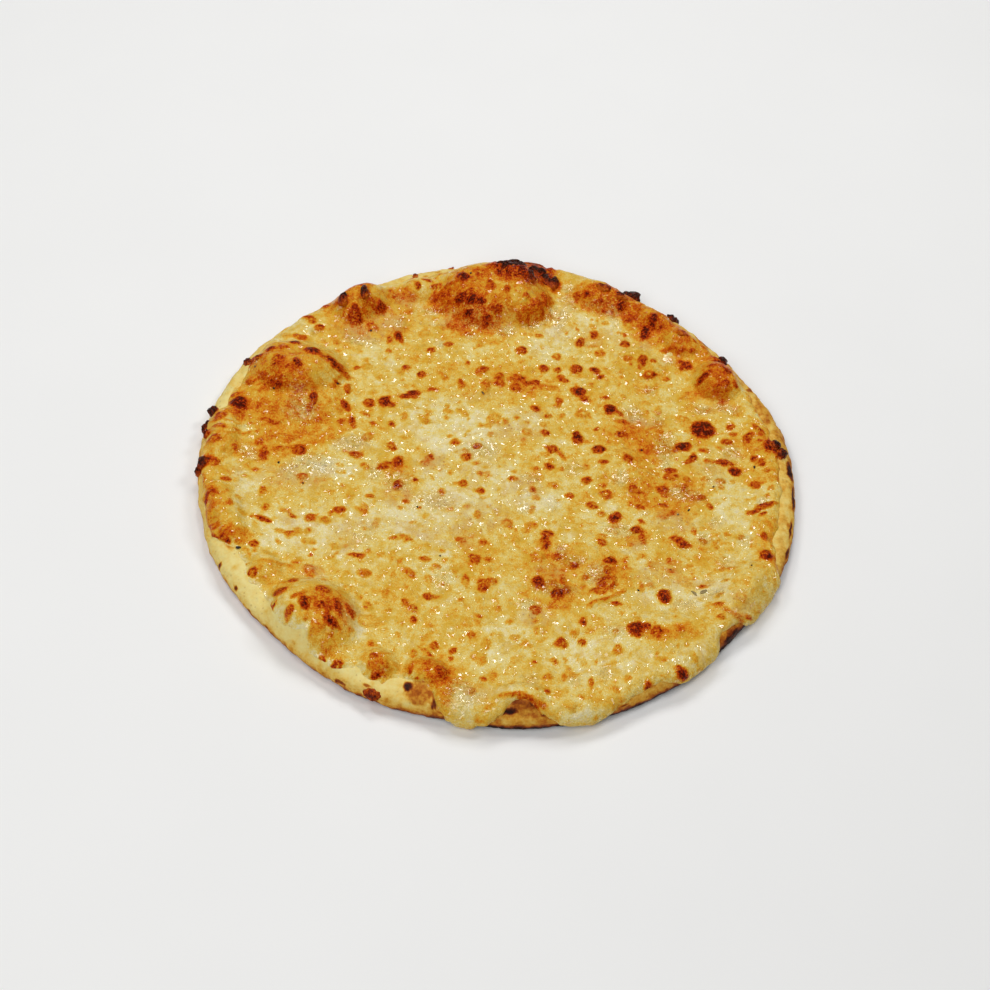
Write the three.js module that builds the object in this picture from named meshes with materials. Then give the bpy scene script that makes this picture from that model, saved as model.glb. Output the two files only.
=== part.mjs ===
// A whole uncut cheese pizza, in millimetres, +Z up, resting on its flat base with the origin at the base's centre.
// Two solids: the baked crust, a thin round of dough with a low raised rim and air bubbles, and the sheet of melted
// cheese that lies on it, follows every bubble, leaves patches of the rim bare and drips over it in a few places.
import * as THREE from 'three';

// Driving dimensions of the crust
const CRUST_RADIUS = 150; // mean radius at the widest part of the rim
const FLOOR_THICKNESS = 5.5; // dough under the middle of the cheese
const RIM_HEIGHT = 10.5; // top of the bare rim
const RIM_SLOPE_START = 30; // inset from the widest part at which the dough starts to rise to the rim
const CREST_INSET = 8; // inset of the rim's crest from its widest part
const EQUATOR_HEIGHT = 4.8; // height of the widest part
const FOOT_INSET = 3.5; // how far the flat base stays inside the widest part

// Driving dimensions of the cheese
const CHEESE_THICKNESS = 4; // over the middle
const CHEESE_RIM_THICKNESS = 1.8; // where it climbs over the rim
const CHEESE_GAP = 0.3; // clearance between the two solids
const CHEESE_REACH = 7; // how far past the rim's crest the cheese runs, along the surface
const EDGE_ROUNDING = 5; // length over which the cheese thins to its edge

// Slow waves in the outline: number of lobes, height of a lobe, angle of one lobe in degrees
const OUTLINE_WAVES = [
  { lobes: 2, height: 0.5, turn: 26 },
  { lobes: 3, height: 0.5, turn: 59 },
  { lobes: 4, height: 1.3, turn: 1 },
  { lobes: 5, height: 0.7, turn: 10 },
  { lobes: 8, height: 0.5, turn: 25 },
  { lobes: 11, height: 0.4, turn: 16 },
];

// Slow waves in the dough's floor: height, wavelength along x and y, phase along x and y in radians
const FLOOR_WAVES = [
  { height: 0.7, x: 92, y: 118, phaseX: 1.3, phaseY: 0.4 },
  { height: 0.5, x: 57, y: 49, phaseX: 0.2, phaseY: 2.1 },
];

// Air bubbles: centre, half-length, half-width, turn in degrees, height over the sheet, fullness of the dome.
// A negative height is a dent, such as where a bubble has fallen in.
const BUBBLES = [
  { x: -109, y: 53, long: 27, wide: 21, turn: 10, height: 10, fullness: 4 }, // large bubble, standing at the back
  { x: -106, y: 38, long: 32, wide: 25, turn: 10, height: 5, fullness: 3.5 }, // and fallen in at the front
  { x: -12, y: 122, long: 35, wide: 26, turn: 0, height: 13, fullness: 3.5 }, // large bubble on the rim
  { x: -84, y: 106, long: 19, wide: 14, turn: 38, height: 7, fullness: 3 },
  { x: -52, y: 122, long: 12, wide: 9, turn: 20, height: 3, fullness: 3 },
  { x: -80, y: -103, long: 27, wide: 22, turn: -38, height: 10, fullness: 3.5 },
  { x: -106, y: -78, long: 13, wide: 9, turn: -48, height: 3, fullness: 3 },
  { x: -47, y: -126, long: 11, wide: 9, turn: -15, height: 3.5, fullness: 3 },
  { x: -25, y: -128, long: 12, wide: 10, turn: -10, height: 4, fullness: 3 },
  { x: -130, y: -48, long: 22, wide: 9, turn: -66, height: 3, fullness: 3 },
  { x: -140, y: 0, long: 18, wide: 9, turn: 90, height: 3, fullness: 3 },
  { x: 20, y: -138, long: 15, wide: 9, turn: 5, height: 4, fullness: 3 },
  { x: 75, y: -96, long: 32, wide: 16, turn: 25, height: 3.5, fullness: 3 },
  { x: 122, y: -62, long: 22, wide: 12, turn: 62, height: 3, fullness: 3 },
  { x: 42, y: -62, long: 22, wide: 14, turn: -20, height: -2.5, fullness: 2.5 },
  { x: 62, y: 6, long: 24, wide: 17, turn: -30, height: 3.5, fullness: 3 },
  { x: 66, y: 82, long: 19, wide: 14, turn: -15, height: 3, fullness: 3 },
  { x: 110, y: 73, long: 16, wide: 13, turn: -40, height: 7, fullness: 3.5 },
  { x: 90, y: 99, long: 13, wide: 9, turn: -45, height: 4, fullness: 3 },
  { x: 76, y: 116, long: 12, wide: 9, turn: -40, height: 3, fullness: 3 },
  { x: 46, y: 130, long: 20, wide: 12, turn: -22, height: 5, fullness: 3 },
];

// Where the cheese stops short of the rim: angle and half-width in degrees, how much is left bare
const BARE_PATCHES = [
  { angle: 356, half: 16, depth: 4 },
  { angle: 20, half: 18, depth: 9 },
  { angle: 40, half: 11, depth: 4 },
  { angle: 61, half: 10, depth: 5 },
  { angle: 114, half: 12, depth: 9 },
  { angle: 160, half: 14, depth: 9 },
  { angle: 209, half: 15, depth: 9 },
  { angle: 226, half: 12, depth: 6 },
  { angle: 240, half: 12, depth: 6 },
  { angle: 254, half: 11, depth: 7 },
  { angle: 279, half: 10, depth: 8 },
  { angle: 301, half: 11, depth: 3 },
  { angle: 317, half: 10, depth: 6 },
  { angle: 342, half: 10, depth: 2 },
];

// Where the cheese has run down the side: angle and half-width in degrees, how much further it reaches
const DRIPS = [
  { angle: 267, half: 9, depth: 5 },
  { angle: 290, half: 10, depth: 2 },
  { angle: 330, half: 11, depth: 3 },
];

// Small waves in the cheese's edge: number of waves, height, phase in radians
const EDGE_WAVES = [
  { waves: 13, height: 0.7, phase: 0.6 },
  { waves: 23, height: 0.5, phase: 2.2 },
];

// How finely the two solids are faceted
const SECTORS = 6; // equal wedges of each wide disc
const DISC_RINGS = 20; // of each wide disc, whose ring k holds k points in each wedge
const RIM_POINTS = SECTORS * DISC_RINGS; // round the pizza at the rim
const SIDE_RINGS = 6; // of the bare rim and side
const EDGE_RINGS = 3; // where the cheese thins to its edge
const BASE_RINGS = 2;

const { cos, sin, hypot, max, min, PI } = Math;
const radians = THREE.MathUtils.degToRad;

// Arc lengths of the rim's two quarter-ellipses, by the mean-radius formula
const quarterArc = (a, b) => (PI / 2) * Math.sqrt((a * a + b * b) / 2);
const SHOULDER_LENGTH = quarterArc(CREST_INSET, RIM_HEIGHT - EQUATOR_HEIGHT);
const FOOT_LENGTH = quarterArc(FOOT_INSET, EQUATOR_HEIGHT);

const smooth = (t) => THREE.MathUtils.smoothstep(t, 0, 1);

// Height of a rounded dome over its unit disc: 1 in the middle, 0 and level at the edge
const dome = (distance, fullness) => (distance < 1 ? (1 - distance ** fullness) ** 2 : 0);

// Shortest turn between two angles, in radians
const turnBetween = (a, b) => Math.abs(THREE.MathUtils.euclideanModulo(a - b + PI, 2 * PI) - PI);

// Several rounded bumps round the rim, merged into one another, at this angle
function bumpRound(bumps, angle) {
  return hypot(...bumps.map((b) => b.depth * dome(turnBetween(angle, radians(b.angle)) / radians(b.half), 2)));
}

// Radius of the crust's widest part at this angle
function outline(angle) {
  const waves = OUTLINE_WAVES.map((w) => w.height * cos(w.lobes * (angle - radians(w.turn))));
  return waves.reduce((sum, w) => sum + w, CRUST_RADIUS);
}

// How far out the cheese runs at this angle, measured along the dough's surface from the middle
function cheeseEdge(angle) {
  const waves = EDGE_WAVES.reduce((sum, w) => sum + w.height * sin(w.waves * angle + w.phase), 0);
  const reach = CHEESE_REACH + waves + bumpRound(DRIPS, angle) - bumpRound(BARE_PATCHES, angle);
  return outline(angle) - CREST_INSET + min(reach, SHOULDER_LENGTH + FOOT_LENGTH / 2);
}

// Length of the path along the dough's surface from the middle to the foot, at this angle
const footPath = (angle) => outline(angle) - CREST_INSET + SHOULDER_LENGTH + FOOT_LENGTH;

// Lift of the bubbles, dents and slow waves over the level sheet
function lift(x, y) {
  let height = 0;
  for (const w of FLOOR_WAVES) {
    height += w.height * sin((2 * PI * x) / w.x + w.phaseX) * cos((2 * PI * y) / w.y + w.phaseY);
  }
  for (const b of BUBBLES) {
    const turn = radians(b.turn);
    const along = (x - b.x) * cos(turn) + (y - b.y) * sin(turn);
    const across = (y - b.y) * cos(turn) - (x - b.x) * sin(turn);
    height += b.height * dome(hypot(along / b.long, across / b.wide), b.fullness);
  }
  return height;
}

// How far up the slope to the rim a place lies: 0 on the floor, 1 at the crest
function rimRise(angle, path) {
  return smooth((path - outline(angle) + RIM_SLOPE_START) / (RIM_SLOPE_START - CREST_INSET));
}

// A point of the dough's surface, or of a layer at some distance over it. The path runs from the middle of the
// floor, up to the crest, over the shoulder and down to the foot; the lift fades out between crest and widest part.
function surfacePoint(angle, path, over) {
  const radius = outline(angle);
  const crest = radius - CREST_INSET;
  let r = min(path, crest);
  let z = FLOOR_THICKNESS + (RIM_HEIGHT - FLOOR_THICKNESS) * rimRise(angle, path);
  let outward = 0;
  let upward = 1;
  let fade = 1;
  const past = path - crest;
  if (past > SHOULDER_LENGTH) {
    const turn = (PI / 2) * min((past - SHOULDER_LENGTH) / FOOT_LENGTH, 1);
    r = radius - FOOT_INSET * (1 - cos(turn));
    z = EQUATOR_HEIGHT * (1 - sin(turn));
    outward = cos(turn);
    upward = -sin(turn);
    fade = 0;
  } else if (past > 0) {
    const turn = (PI / 2) * (past / SHOULDER_LENGTH);
    r = crest + CREST_INSET * sin(turn);
    z = EQUATOR_HEIGHT + (RIM_HEIGHT - EQUATOR_HEIGHT) * cos(turn);
    outward = sin(turn);
    upward = cos(turn);
    fade = smooth(1 - past / SHOULDER_LENGTH);
  }
  r += over * outward;
  const x = r * cos(angle);
  const y = r * sin(angle);
  return new THREE.Vector3(x, y, z + over * upward + fade * lift(x, y));
}

// Thickness of the cheese at this angle and distance along its path, thinning roundly to its edge
function cheeseThickness(angle, path) {
  const full = CHEESE_THICKNESS + (CHEESE_RIM_THICKNESS - CHEESE_THICKNESS) * rimRise(angle, path);
  const inward = min((cheeseEdge(angle) - path) / EDGE_ROUNDING, 1);
  return full * Math.sqrt(max(0, 1 - (1 - inward) ** 2));
}

// Collects rings of points, and the facets between them
class Shell {
  positions = [];
  facets = [];

  // Adds a ring of points at even angles and returns their indices
  ring(count, place) {
    return Array.from({ length: count }, (_, i) => this.point(place((2 * PI * i) / count)));
  }

  point({ x, y, z }) {
    return this.positions.push(x, y, z) / 3 - 1;
  }

  // Joins two rings of the same count
  band(upper, lower) {
    upper.forEach((a, i) => {
      const next = (i + 1) % upper.length;
      this.facets.push(a, lower[i], lower[next], a, lower[next], upper[next]);
    });
  }

  // Adds a disc of even facets, place(angle, share) giving its points, and returns its outermost ring
  disc(place, facesDown) {
    const rings = [[this.point(place(0, 0))]];
    for (let k = 1; k <= DISC_RINGS; k++) {
      rings.push(this.ring(SECTORS * k, (angle) => place(angle, k / DISC_RINGS)));
      for (let sector = 0; sector < SECTORS; sector++) {
        this.wedge(rings[k - 1], rings[k], sector, facesDown);
      }
    }
    return rings[DISC_RINGS];
  }

  // Joins one wedge of ring k - 1 to the same wedge of ring k, which has one point more
  wedge(inner, outer, sector, facesDown) {
    const k = outer.length / SECTORS;
    for (let i = 0; i < k; i++) {
      const a = inner[(sector * (k - 1) + i) % inner.length];
      const b = outer[sector * k + i];
      const c = outer[(sector * k + i + 1) % outer.length];
      const d = inner[(sector * (k - 1) + i + 1) % inner.length];
      this.facets.push(...(facesDown ? [a, c, b] : [a, b, c]));
      if (i < k - 1) this.facets.push(...(facesDown ? [a, d, c] : [a, c, d]));
    }
  }

  geometry() {
    const geometry = new THREE.BufferGeometry();
    geometry.setAttribute('position', new THREE.Float32BufferAttribute(this.positions, 3));
    geometry.setIndex(this.facets);
    geometry.computeVertexNormals();
    return geometry;
  }
}

// The crust: its top under the cheese, then the bare rim and side down to the flat base
function crustGeometry() {
  const shell = new Shell();
  let last = shell.disc((angle, share) => surfacePoint(angle, cheeseEdge(angle) * share, 0), false);
  for (let k = 1; k <= SIDE_RINGS; k++) {
    const next = shell.ring(RIM_POINTS, (angle) => {
      const edge = cheeseEdge(angle);
      return surfacePoint(angle, edge + ((footPath(angle) - edge) * k) / SIDE_RINGS, 0);
    });
    shell.band(last, next);
    last = next;
  }
  for (let k = 1; k <= BASE_RINGS; k++) {
    const share = 1 - k / BASE_RINGS;
    const next = shell.ring(RIM_POINTS, (angle) => {
      const foot = surfacePoint(angle, footPath(angle), 0);
      return foot.set(foot.x * share, foot.y * share, 0);
    });
    shell.band(last, next);
    last = next;
  }
  return shell.geometry();
}

// The cheese: its top out to where it starts to thin, its rounded edge, then its underside
function cheeseGeometry() {
  const shell = new Shell();
  const top = (angle, path) => surfacePoint(angle, path, CHEESE_GAP + cheeseThickness(angle, path));
  const thinning = (angle) => cheeseEdge(angle) - EDGE_ROUNDING;
  let last = shell.disc((angle, share) => top(angle, thinning(angle) * share), false);
  for (let k = 1; k < EDGE_RINGS; k++) {
    const share = sin(((PI / 2) * k) / EDGE_RINGS);
    const next = shell.ring(RIM_POINTS, (angle) => top(angle, thinning(angle) + EDGE_ROUNDING * share));
    shell.band(last, next);
    last = next;
  }
  const underside = (angle, share) => surfacePoint(angle, cheeseEdge(angle) * share, CHEESE_GAP);
  shell.band(last, shell.disc(underside, true));
  return shell.geometry();
}

function part(name, geometry, color, roughness) {
  const mesh = new THREE.Mesh(geometry, new THREE.MeshStandardMaterial({ color, roughness, metalness: 0 }));
  mesh.name = name;
  return mesh;
}

const pizza = new THREE.Group();
pizza.add(part('crust', crustGeometry(), 0xd9b978, 0.85));
pizza.add(part('cheese', cheeseGeometry(), 0xdfc87a, 0.4));

// Centre the whole on the origin, since its outline is uneven
const middle = new THREE.Box3().setFromObject(pizza).getCenter(new THREE.Vector3());
for (const mesh of pizza.children) mesh.position.set(-middle.x, -middle.y, 0);

export default pizza;
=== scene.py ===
"""A whole baked cheese pizza around its fitted model: the dough, the blistered sheet of melted cheese, the
charred blisters that stand proud of the rim, and the burnt crumbs and herb flecks that lie on top.

Places on the pizza are in millimetres, x to the right and y away from the front. The top is also treated as
a flat sheet, unrolled from the middle: a place on the sheet lies at its angle and at its distance along the
surface.
"""

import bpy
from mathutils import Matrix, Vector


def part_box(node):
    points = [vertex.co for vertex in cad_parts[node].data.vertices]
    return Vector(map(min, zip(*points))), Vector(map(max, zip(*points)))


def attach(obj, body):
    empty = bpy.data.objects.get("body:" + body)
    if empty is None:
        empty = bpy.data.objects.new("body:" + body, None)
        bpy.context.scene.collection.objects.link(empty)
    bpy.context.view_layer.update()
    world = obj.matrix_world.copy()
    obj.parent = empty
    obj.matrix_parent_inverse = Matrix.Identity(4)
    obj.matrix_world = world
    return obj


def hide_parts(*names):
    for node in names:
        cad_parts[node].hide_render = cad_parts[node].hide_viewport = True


bl_info = {
    "name": "Cheese pizza",
    "version": (1, 0, 0),
    "blender": (4, 5, 0),
    "location": "3D View > Sidebar > Pizza",
    "description": "Makes a whole baked cheese pizza on its fitted model, and the stage it is shown on",
    "category": "Add Mesh",
}

import math

import bpy
import numpy as np
from mathutils import Matrix, Vector

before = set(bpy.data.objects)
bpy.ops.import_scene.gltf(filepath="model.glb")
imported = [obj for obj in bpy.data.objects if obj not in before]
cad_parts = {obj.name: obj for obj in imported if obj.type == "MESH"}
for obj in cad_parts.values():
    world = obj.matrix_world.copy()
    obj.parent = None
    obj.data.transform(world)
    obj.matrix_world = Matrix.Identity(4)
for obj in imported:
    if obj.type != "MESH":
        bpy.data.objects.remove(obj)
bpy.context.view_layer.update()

MM = 0.001
QUARTER = math.pi / 2
FULL_TURN = 2 * math.pi

# ---- sizes shared with the solid model, in millimetres

CRUST_RADIUS = 150.0  # mean radius at the widest part of the rim
FLOOR_THICKNESS = 5.5  # dough under the middle of the cheese
RIM_HEIGHT = 10.5  # top of the bare rim
RIM_SLOPE_START = 30.0  # inset at which the dough starts to rise to the rim
CREST_INSET = 8.0  # inset of the rim's crest
EQUATOR_HEIGHT = 4.8  # height of the widest part
FOOT_INSET = 3.5  # how far the flat base stays inside the widest part
CHEESE_THICKNESS = 4.0
CHEESE_RIM_THICKNESS = 2.2
MODEL_GAP = 0.3  # between the solid model's dough and cheese

SUNK = 0.2  # how far the finished cheese's underside lies in the dough, so that no gap shows
CLEARANCE = 0.3  # the least height of cheese and lumps over what the pizza lies on
FOOT_CLEAR = 0.6  # the least length of bare dough between the cheese's edge and the foot

# Slow waves in the outline: lobes, height, angle of one lobe in degrees
OUTLINE_WAVES = ((2, 0.5, 26), (3, 0.5, 59), (4, 1.3, 1), (5, 0.7, 10), (8, 0.5, 25), (11, 0.4, 16))

# Slow waves in the dough's floor: height, wavelength along x and y, phase along x and y in radians
FLOOR_WAVES = ((0.7, 92, 118, 1.3, 0.4), (0.5, 57, 49, 0.2, 2.1))

# Small waves in the cheese's edge: lobes, height, phase in radians
EDGE_WAVES = ((41, 0.45, 1.0), (67, 0.35, 0.3), (113, 0.2, 0.0))

# Air bubbles: x, y, half-length, half-width, turn in degrees, height, fullness of the dome
BUBBLES = (
    (-109, 53, 27, 21, 10, 10, 4),
    (-106, 38, 32, 25, 10, 5, 3.5),
    (-12, 122, 35, 26, 0, 13, 3.5),
    (-84, 106, 19, 14, 38, 7, 3),
    (-52, 122, 12, 9, 20, 3, 3),
    (-80, -103, 27, 22, -38, 10, 3.5),
    (-106, -78, 13, 9, -48, 3, 3),
    (-47, -126, 11, 9, -15, 3.5, 3),
    (-25, -128, 12, 10, -10, 4, 3),
    (-130, -48, 22, 9, -66, 3, 3),
    (-140, 0, 18, 9, 90, 3, 3),
    (20, -138, 15, 9, 5, 4, 3),
    (75, -96, 32, 16, 25, 3.5, 3),
    (122, -62, 22, 12, 62, 3, 3),
    (42, -62, 22, 14, -20, -2.5, 2.5),
    (62, 6, 24, 17, -30, 3.5, 3),
    (66, 82, 19, 14, -15, 3, 3),
    (110, 73, 16, 13, -40, 7, 3.5),
    (90, 99, 13, 9, -45, 4, 3),
    (76, 116, 12, 9, -40, 3, 3),
    (46, 130, 20, 12, -22, 5, 3),
)

# How far the cheese's edge stays inside the widest part of the rim: angle in degrees, inset. A negative
# inset is cheese that has run down over the side.
CHEESE_INSETS = (
    (0, 8), (8, 8), (20, 9), (28, 7), (35, 5), (44, 5), (56, 5), (66, 4.5), (76, 2), (90, 0.5), (98, 2),
    (104, 6), (110, 7.5), (118, 7), (125, 3), (132, 1), (142, 2), (149, 4), (156, 5), (163, 8), (170, 7),
    (175, 2), (183, 2), (192, 2), (200, 2), (204, 2.4), (206, 4), (208, 7), (210.2, 10.5), (212.5, 11.5),
    (214, 10.5), (215.6, 7.4), (217.8, 6.5), (219.5, 9), (221.4, 9.5), (222.7, 7.4), (224.3, 6.6),
    (225.7, 4.6), (227.5, 3.6), (229.7, 2.8), (232.2, 3.8), (234.9, 5.3), (236.3, 4.2), (237.6, 2.6),
    (240, 2.2), (242, 2.3), (244, 3.2), (245.5, 6), (247, 8.6), (248.8, 7), (250.4, 5.4), (252, 6),
    (253.4, 10), (255, 12.6), (259, 12.2), (261.2, 8.6), (263.7, 1.5), (265.6, -0.6), (267, -5), (268.2, -8),
    (269.4, -5), (270.6, -0.6), (272.2, 0), (273.1, 0.6), (274.3, 3), (275.8, 6.4), (277.4, 8), (279.2, 8),
    (280.6, 6.4), (281.9, 3.3), (283.1, 1.2), (284.8, 0), (286.6, -2), (289.4, -3), (291.8, -2.4),
    (294.3, 0), (296.5, 1.2), (300, 2.6), (302, 2.8), (304, 2.3), (306.5, 1.4), (308.4, 0), (310.7, -2),
    (313.7, -2), (316.5, -1.4), (318.6, 0.2), (320.2, 2.5), (322, 3.5), (323.8, 3.4), (325.8, 2.4), (327, 0),
    (328.7, -2), (333.4, -2.6), (338, -1.6), (340.6, 1.2), (342.4, 4.4), (344.7, 7), (348, 9),
)

# How the cheese thins to its edge: angle in degrees, over which length, and how fully it is rounded, from
# 0.5 for a bulging edge to 1 for a film
CHEESE_THINNING = (
    (0, 6, 0.6), (90, 6, 0.6), (150, 8, 0.7), (176, 5, 0.6), (200, 5, 0.6), (208, 13, 0.95), (240, 14, 0.95),
    (260, 12, 0.9), (264, 5, 0.5), (272, 5, 0.5), (278, 6, 0.5), (284, 5, 0.5), (292, 5, 0.5), (300, 7, 0.7),
    (312, 5, 0.6), (322, 6, 0.7), (329, 4, 0.5), (338, 4, 0.5), (345, 8, 0.8),
)


# ---- shape functions


def ease(t):
    """Smooth rise from 0 to 1: three times t squared less twice t cubed, with t kept between 0 and 1."""
    t = np.clip(t, 0.0, 1.0)
    return t * t * (3.0 - 2.0 * t)


def dome(distance, fullness):
    """Rounded dome over a unit disc: the square of one less the distance to the power of its fullness."""
    return (1.0 - np.clip(distance, 0.0, 1.0) ** fullness) ** 2


def quarter_arc(a, b):
    """Length of a quarter of an ellipse, by the mean-radius formula."""
    return QUARTER * math.sqrt((a * a + b * b) / 2)


SHOULDER_LENGTH = quarter_arc(CREST_INSET, RIM_HEIGHT - EQUATOR_HEIGHT)
FOOT_LENGTH = quarter_arc(FOOT_INSET, EQUATOR_HEIGHT)


def cos_sin(turn):
    """Cosine and sine of a turn in degrees."""
    return math.cos(math.radians(turn)), math.sin(math.radians(turn))


def oval(x, y, centre_x, centre_y, half_long, half_wide, turn):
    """Distance from the middle of a turned ellipse, 1 on the ellipse itself."""
    c, s = cos_sin(turn)
    along = (x - centre_x) * c + (y - centre_y) * s
    across = (y - centre_y) * c - (x - centre_x) * s
    return np.hypot(along / half_long, across / half_wide)


def flat_place(angle, path):
    """x and y of a place at this angle and distance."""
    return path * np.cos(angle), path * np.sin(angle)


def listed_at(angle, listed, *columns):
    """The columns of a list at an angle, each in a straight line from one listed angle to the next."""
    knots = np.array(listed, float)
    return [np.interp(np.degrees(angle), knots[:, 0], knots[:, k], period=360) for k in columns]


def outline(angle):
    """Radius of the widest part: the mean radius plus a cosine wave for each number of lobes."""
    radius = np.full_like(angle, CRUST_RADIUS)
    for lobes, height, turn in OUTLINE_WAVES:
        radius = radius + height * np.cos(lobes * (angle - math.radians(turn)))
    return radius


def foot_path(angle):
    """Length along the surface from the middle to the foot."""
    return outline(angle) - CREST_INSET + SHOULDER_LENGTH + FOOT_LENGTH


def lift(x, y):
    """Height of the slow waves and the air bubbles over the level sheet: products of sines, and domes."""
    height = np.zeros_like(x)
    for rise, along_x, along_y, phase_x, phase_y in FLOOR_WAVES:
        wave = np.sin(FULL_TURN * x / along_x + phase_x) * np.cos(FULL_TURN * y / along_y + phase_y)
        height = height + rise * wave
    for *place, rise, fullness in BUBBLES:
        height = height + rise * dome(oval(x, y, *place), fullness)
    return height


def rim_rise(angle, path):
    """How far up the slope to the rim a place lies: 0 on the floor, 1 at the crest."""
    return ease((path - outline(angle) + RIM_SLOPE_START) / (RIM_SLOPE_START - CREST_INSET))


def surface(angle, path, over):
    """Points over the dough's surface, as x, y and z: level in the middle, rising to the crest, then a
    quarter of an ellipse over the shoulder to the widest part, and a second one under it to the foot."""
    radius = outline(angle)
    crest = radius - CREST_INSET
    past = path - crest
    shoulder = QUARTER * np.clip(past / SHOULDER_LENGTH, 0, 1)
    foot = QUARTER * np.clip((past - SHOULDER_LENGTH) / FOOT_LENGTH, 0, 1)
    on_foot = past > SHOULDER_LENGTH
    on_shoulder = past > 0
    r = np.where(on_shoulder, crest + CREST_INSET * np.sin(shoulder), path)
    r = np.where(on_foot, radius - FOOT_INSET * (1 - np.cos(foot)), r)
    level = FLOOR_THICKNESS + (RIM_HEIGHT - FLOOR_THICKNESS) * rim_rise(angle, path)
    z = np.where(on_shoulder, EQUATOR_HEIGHT + (RIM_HEIGHT - EQUATOR_HEIGHT) * np.cos(shoulder), level)
    z = np.where(on_foot, EQUATOR_HEIGHT * (1 - np.sin(foot)), z)
    outward = np.where(on_foot, np.cos(foot), np.sin(shoulder))
    upward = np.where(on_foot, -np.sin(foot), np.cos(shoulder))
    r = r + over * outward
    x, y = flat_place(angle, r)
    fade = np.where(on_foot, 0.0, ease(1 - past / SHOULDER_LENGTH))
    return np.stack([x, y, z + over * upward + fade * lift(x, y)], -1)


def inset_to_path(angle, inset):
    """Distance along the surface of a place at this inset from the widest part; a negative inset is on the
    foot."""
    crest = outline(angle) - CREST_INSET
    turned = np.arcsin(np.clip(1 - inset / CREST_INSET, 0, 1)) / QUARTER
    over_shoulder = crest + SHOULDER_LENGTH * turned - np.minimum(inset, 0)
    return np.where(inset > CREST_INSET, outline(angle) - inset, over_shoulder)


def cheese_edge(angle):
    """How far out the cheese runs: the listed insets, eased from one to the next, with small sine waves."""
    knots = np.radians([a for a, _ in CHEESE_INSETS] + [360 + CHEESE_INSETS[0][0]])
    insets = np.array([inset for _, inset in CHEESE_INSETS] + [CHEESE_INSETS[0][1]], float)
    turned = np.mod(angle, FULL_TURN)
    after = np.clip(np.searchsorted(knots, turned, side="right"), 1, len(knots) - 1)
    share = ease((turned - knots[after - 1]) / (knots[after] - knots[after - 1]))
    inset = insets[after - 1] + (insets[after] - insets[after - 1]) * share
    waves = sum(height * np.sin(lobes * angle + phase) for lobes, height, phase in EDGE_WAVES)
    return np.minimum(inset_to_path(angle, inset) + waves, foot_path(angle) - FOOT_CLEAR)


def cheese_over(angle, path):
    """Height of the cheese's top over the dough: full inside, and at the edge the share t of the way in
    gives the height t times 2 less t, to the power of the edge's fullness."""
    full = CHEESE_THICKNESS + (CHEESE_RIM_THICKNESS - CHEESE_THICKNESS) * rim_rise(angle, path) + MODEL_GAP
    length, fullness = listed_at(angle, CHEESE_THINNING, 1, 2)
    inward = np.clip((cheese_edge(angle) - path) / length, 0, 1)
    return (full + SUNK) * (inward * (2 - inward)) ** fullness - SUNK


def centre_shift():
    """Moves the uneven outline's box to the middle of the solid crust's box."""
    angle = np.linspace(0, FULL_TURN, 2048, endpoint=False)
    x, y = flat_place(angle, outline(angle))
    low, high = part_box("crust")
    return (
        (low.x + high.x) / 2 / MM - (x.min() + x.max()) / 2,
        (low.y + high.y) / 2 / MM - (y.min() + y.max()) / 2,
    )


SHIFT_X, SHIFT_Y = centre_shift()
NOISE_LATTICE = 128  # corners along each side before the noise repeats
NOISE_ORIGIN = (37.0, 53.0)
NOISE_GAIN = 1.5


def noise(x, y, size, seed):
    """Smooth noise from about -1 to 1: a random slope at each corner of a square lattice of this size, eased
    from corner to corner."""
    turns = np.random.default_rng(seed).uniform(0, FULL_TURN, (NOISE_LATTICE, NOISE_LATTICE))
    u, v = x / size + NOISE_ORIGIN[0], y / size + NOISE_ORIGIN[1]
    i, j = np.floor(u).astype(int), np.floor(v).astype(int)
    across, up = u - i, v - j

    def corner(a, b):
        turn = turns[(i + a) % NOISE_LATTICE, (j + b) % NOISE_LATTICE]
        return np.cos(turn) * (across - a) + np.sin(turn) * (up - b)

    share_across, share_up = ease(across), ease(up)
    near = corner(0, 0) * (1 - share_across) + corner(1, 0) * share_across
    far = corner(0, 1) * (1 - share_across) + corner(1, 1) * share_across
    return NOISE_GAIN * (near * (1 - share_up) + far * share_up)


# ---- places, as seen along the front line of sight

EYE = (-0.5, -594.2, 695.2)  # where the front line of sight starts
SIGHT_HEIGHT = 10.0  # places are listed where the line of sight passes this height
SIGHT_SHIFT = 1.45  # the lists' origin lies this far behind the pizza's middle
MOST_OVERHANG = 3.0  # how far down past the widest part a listed place may come to lie
SIGHT_STEPS, SIGHT_STEP = 12, 0.7  # steps to find a place, each this share of what is still missing


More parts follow.
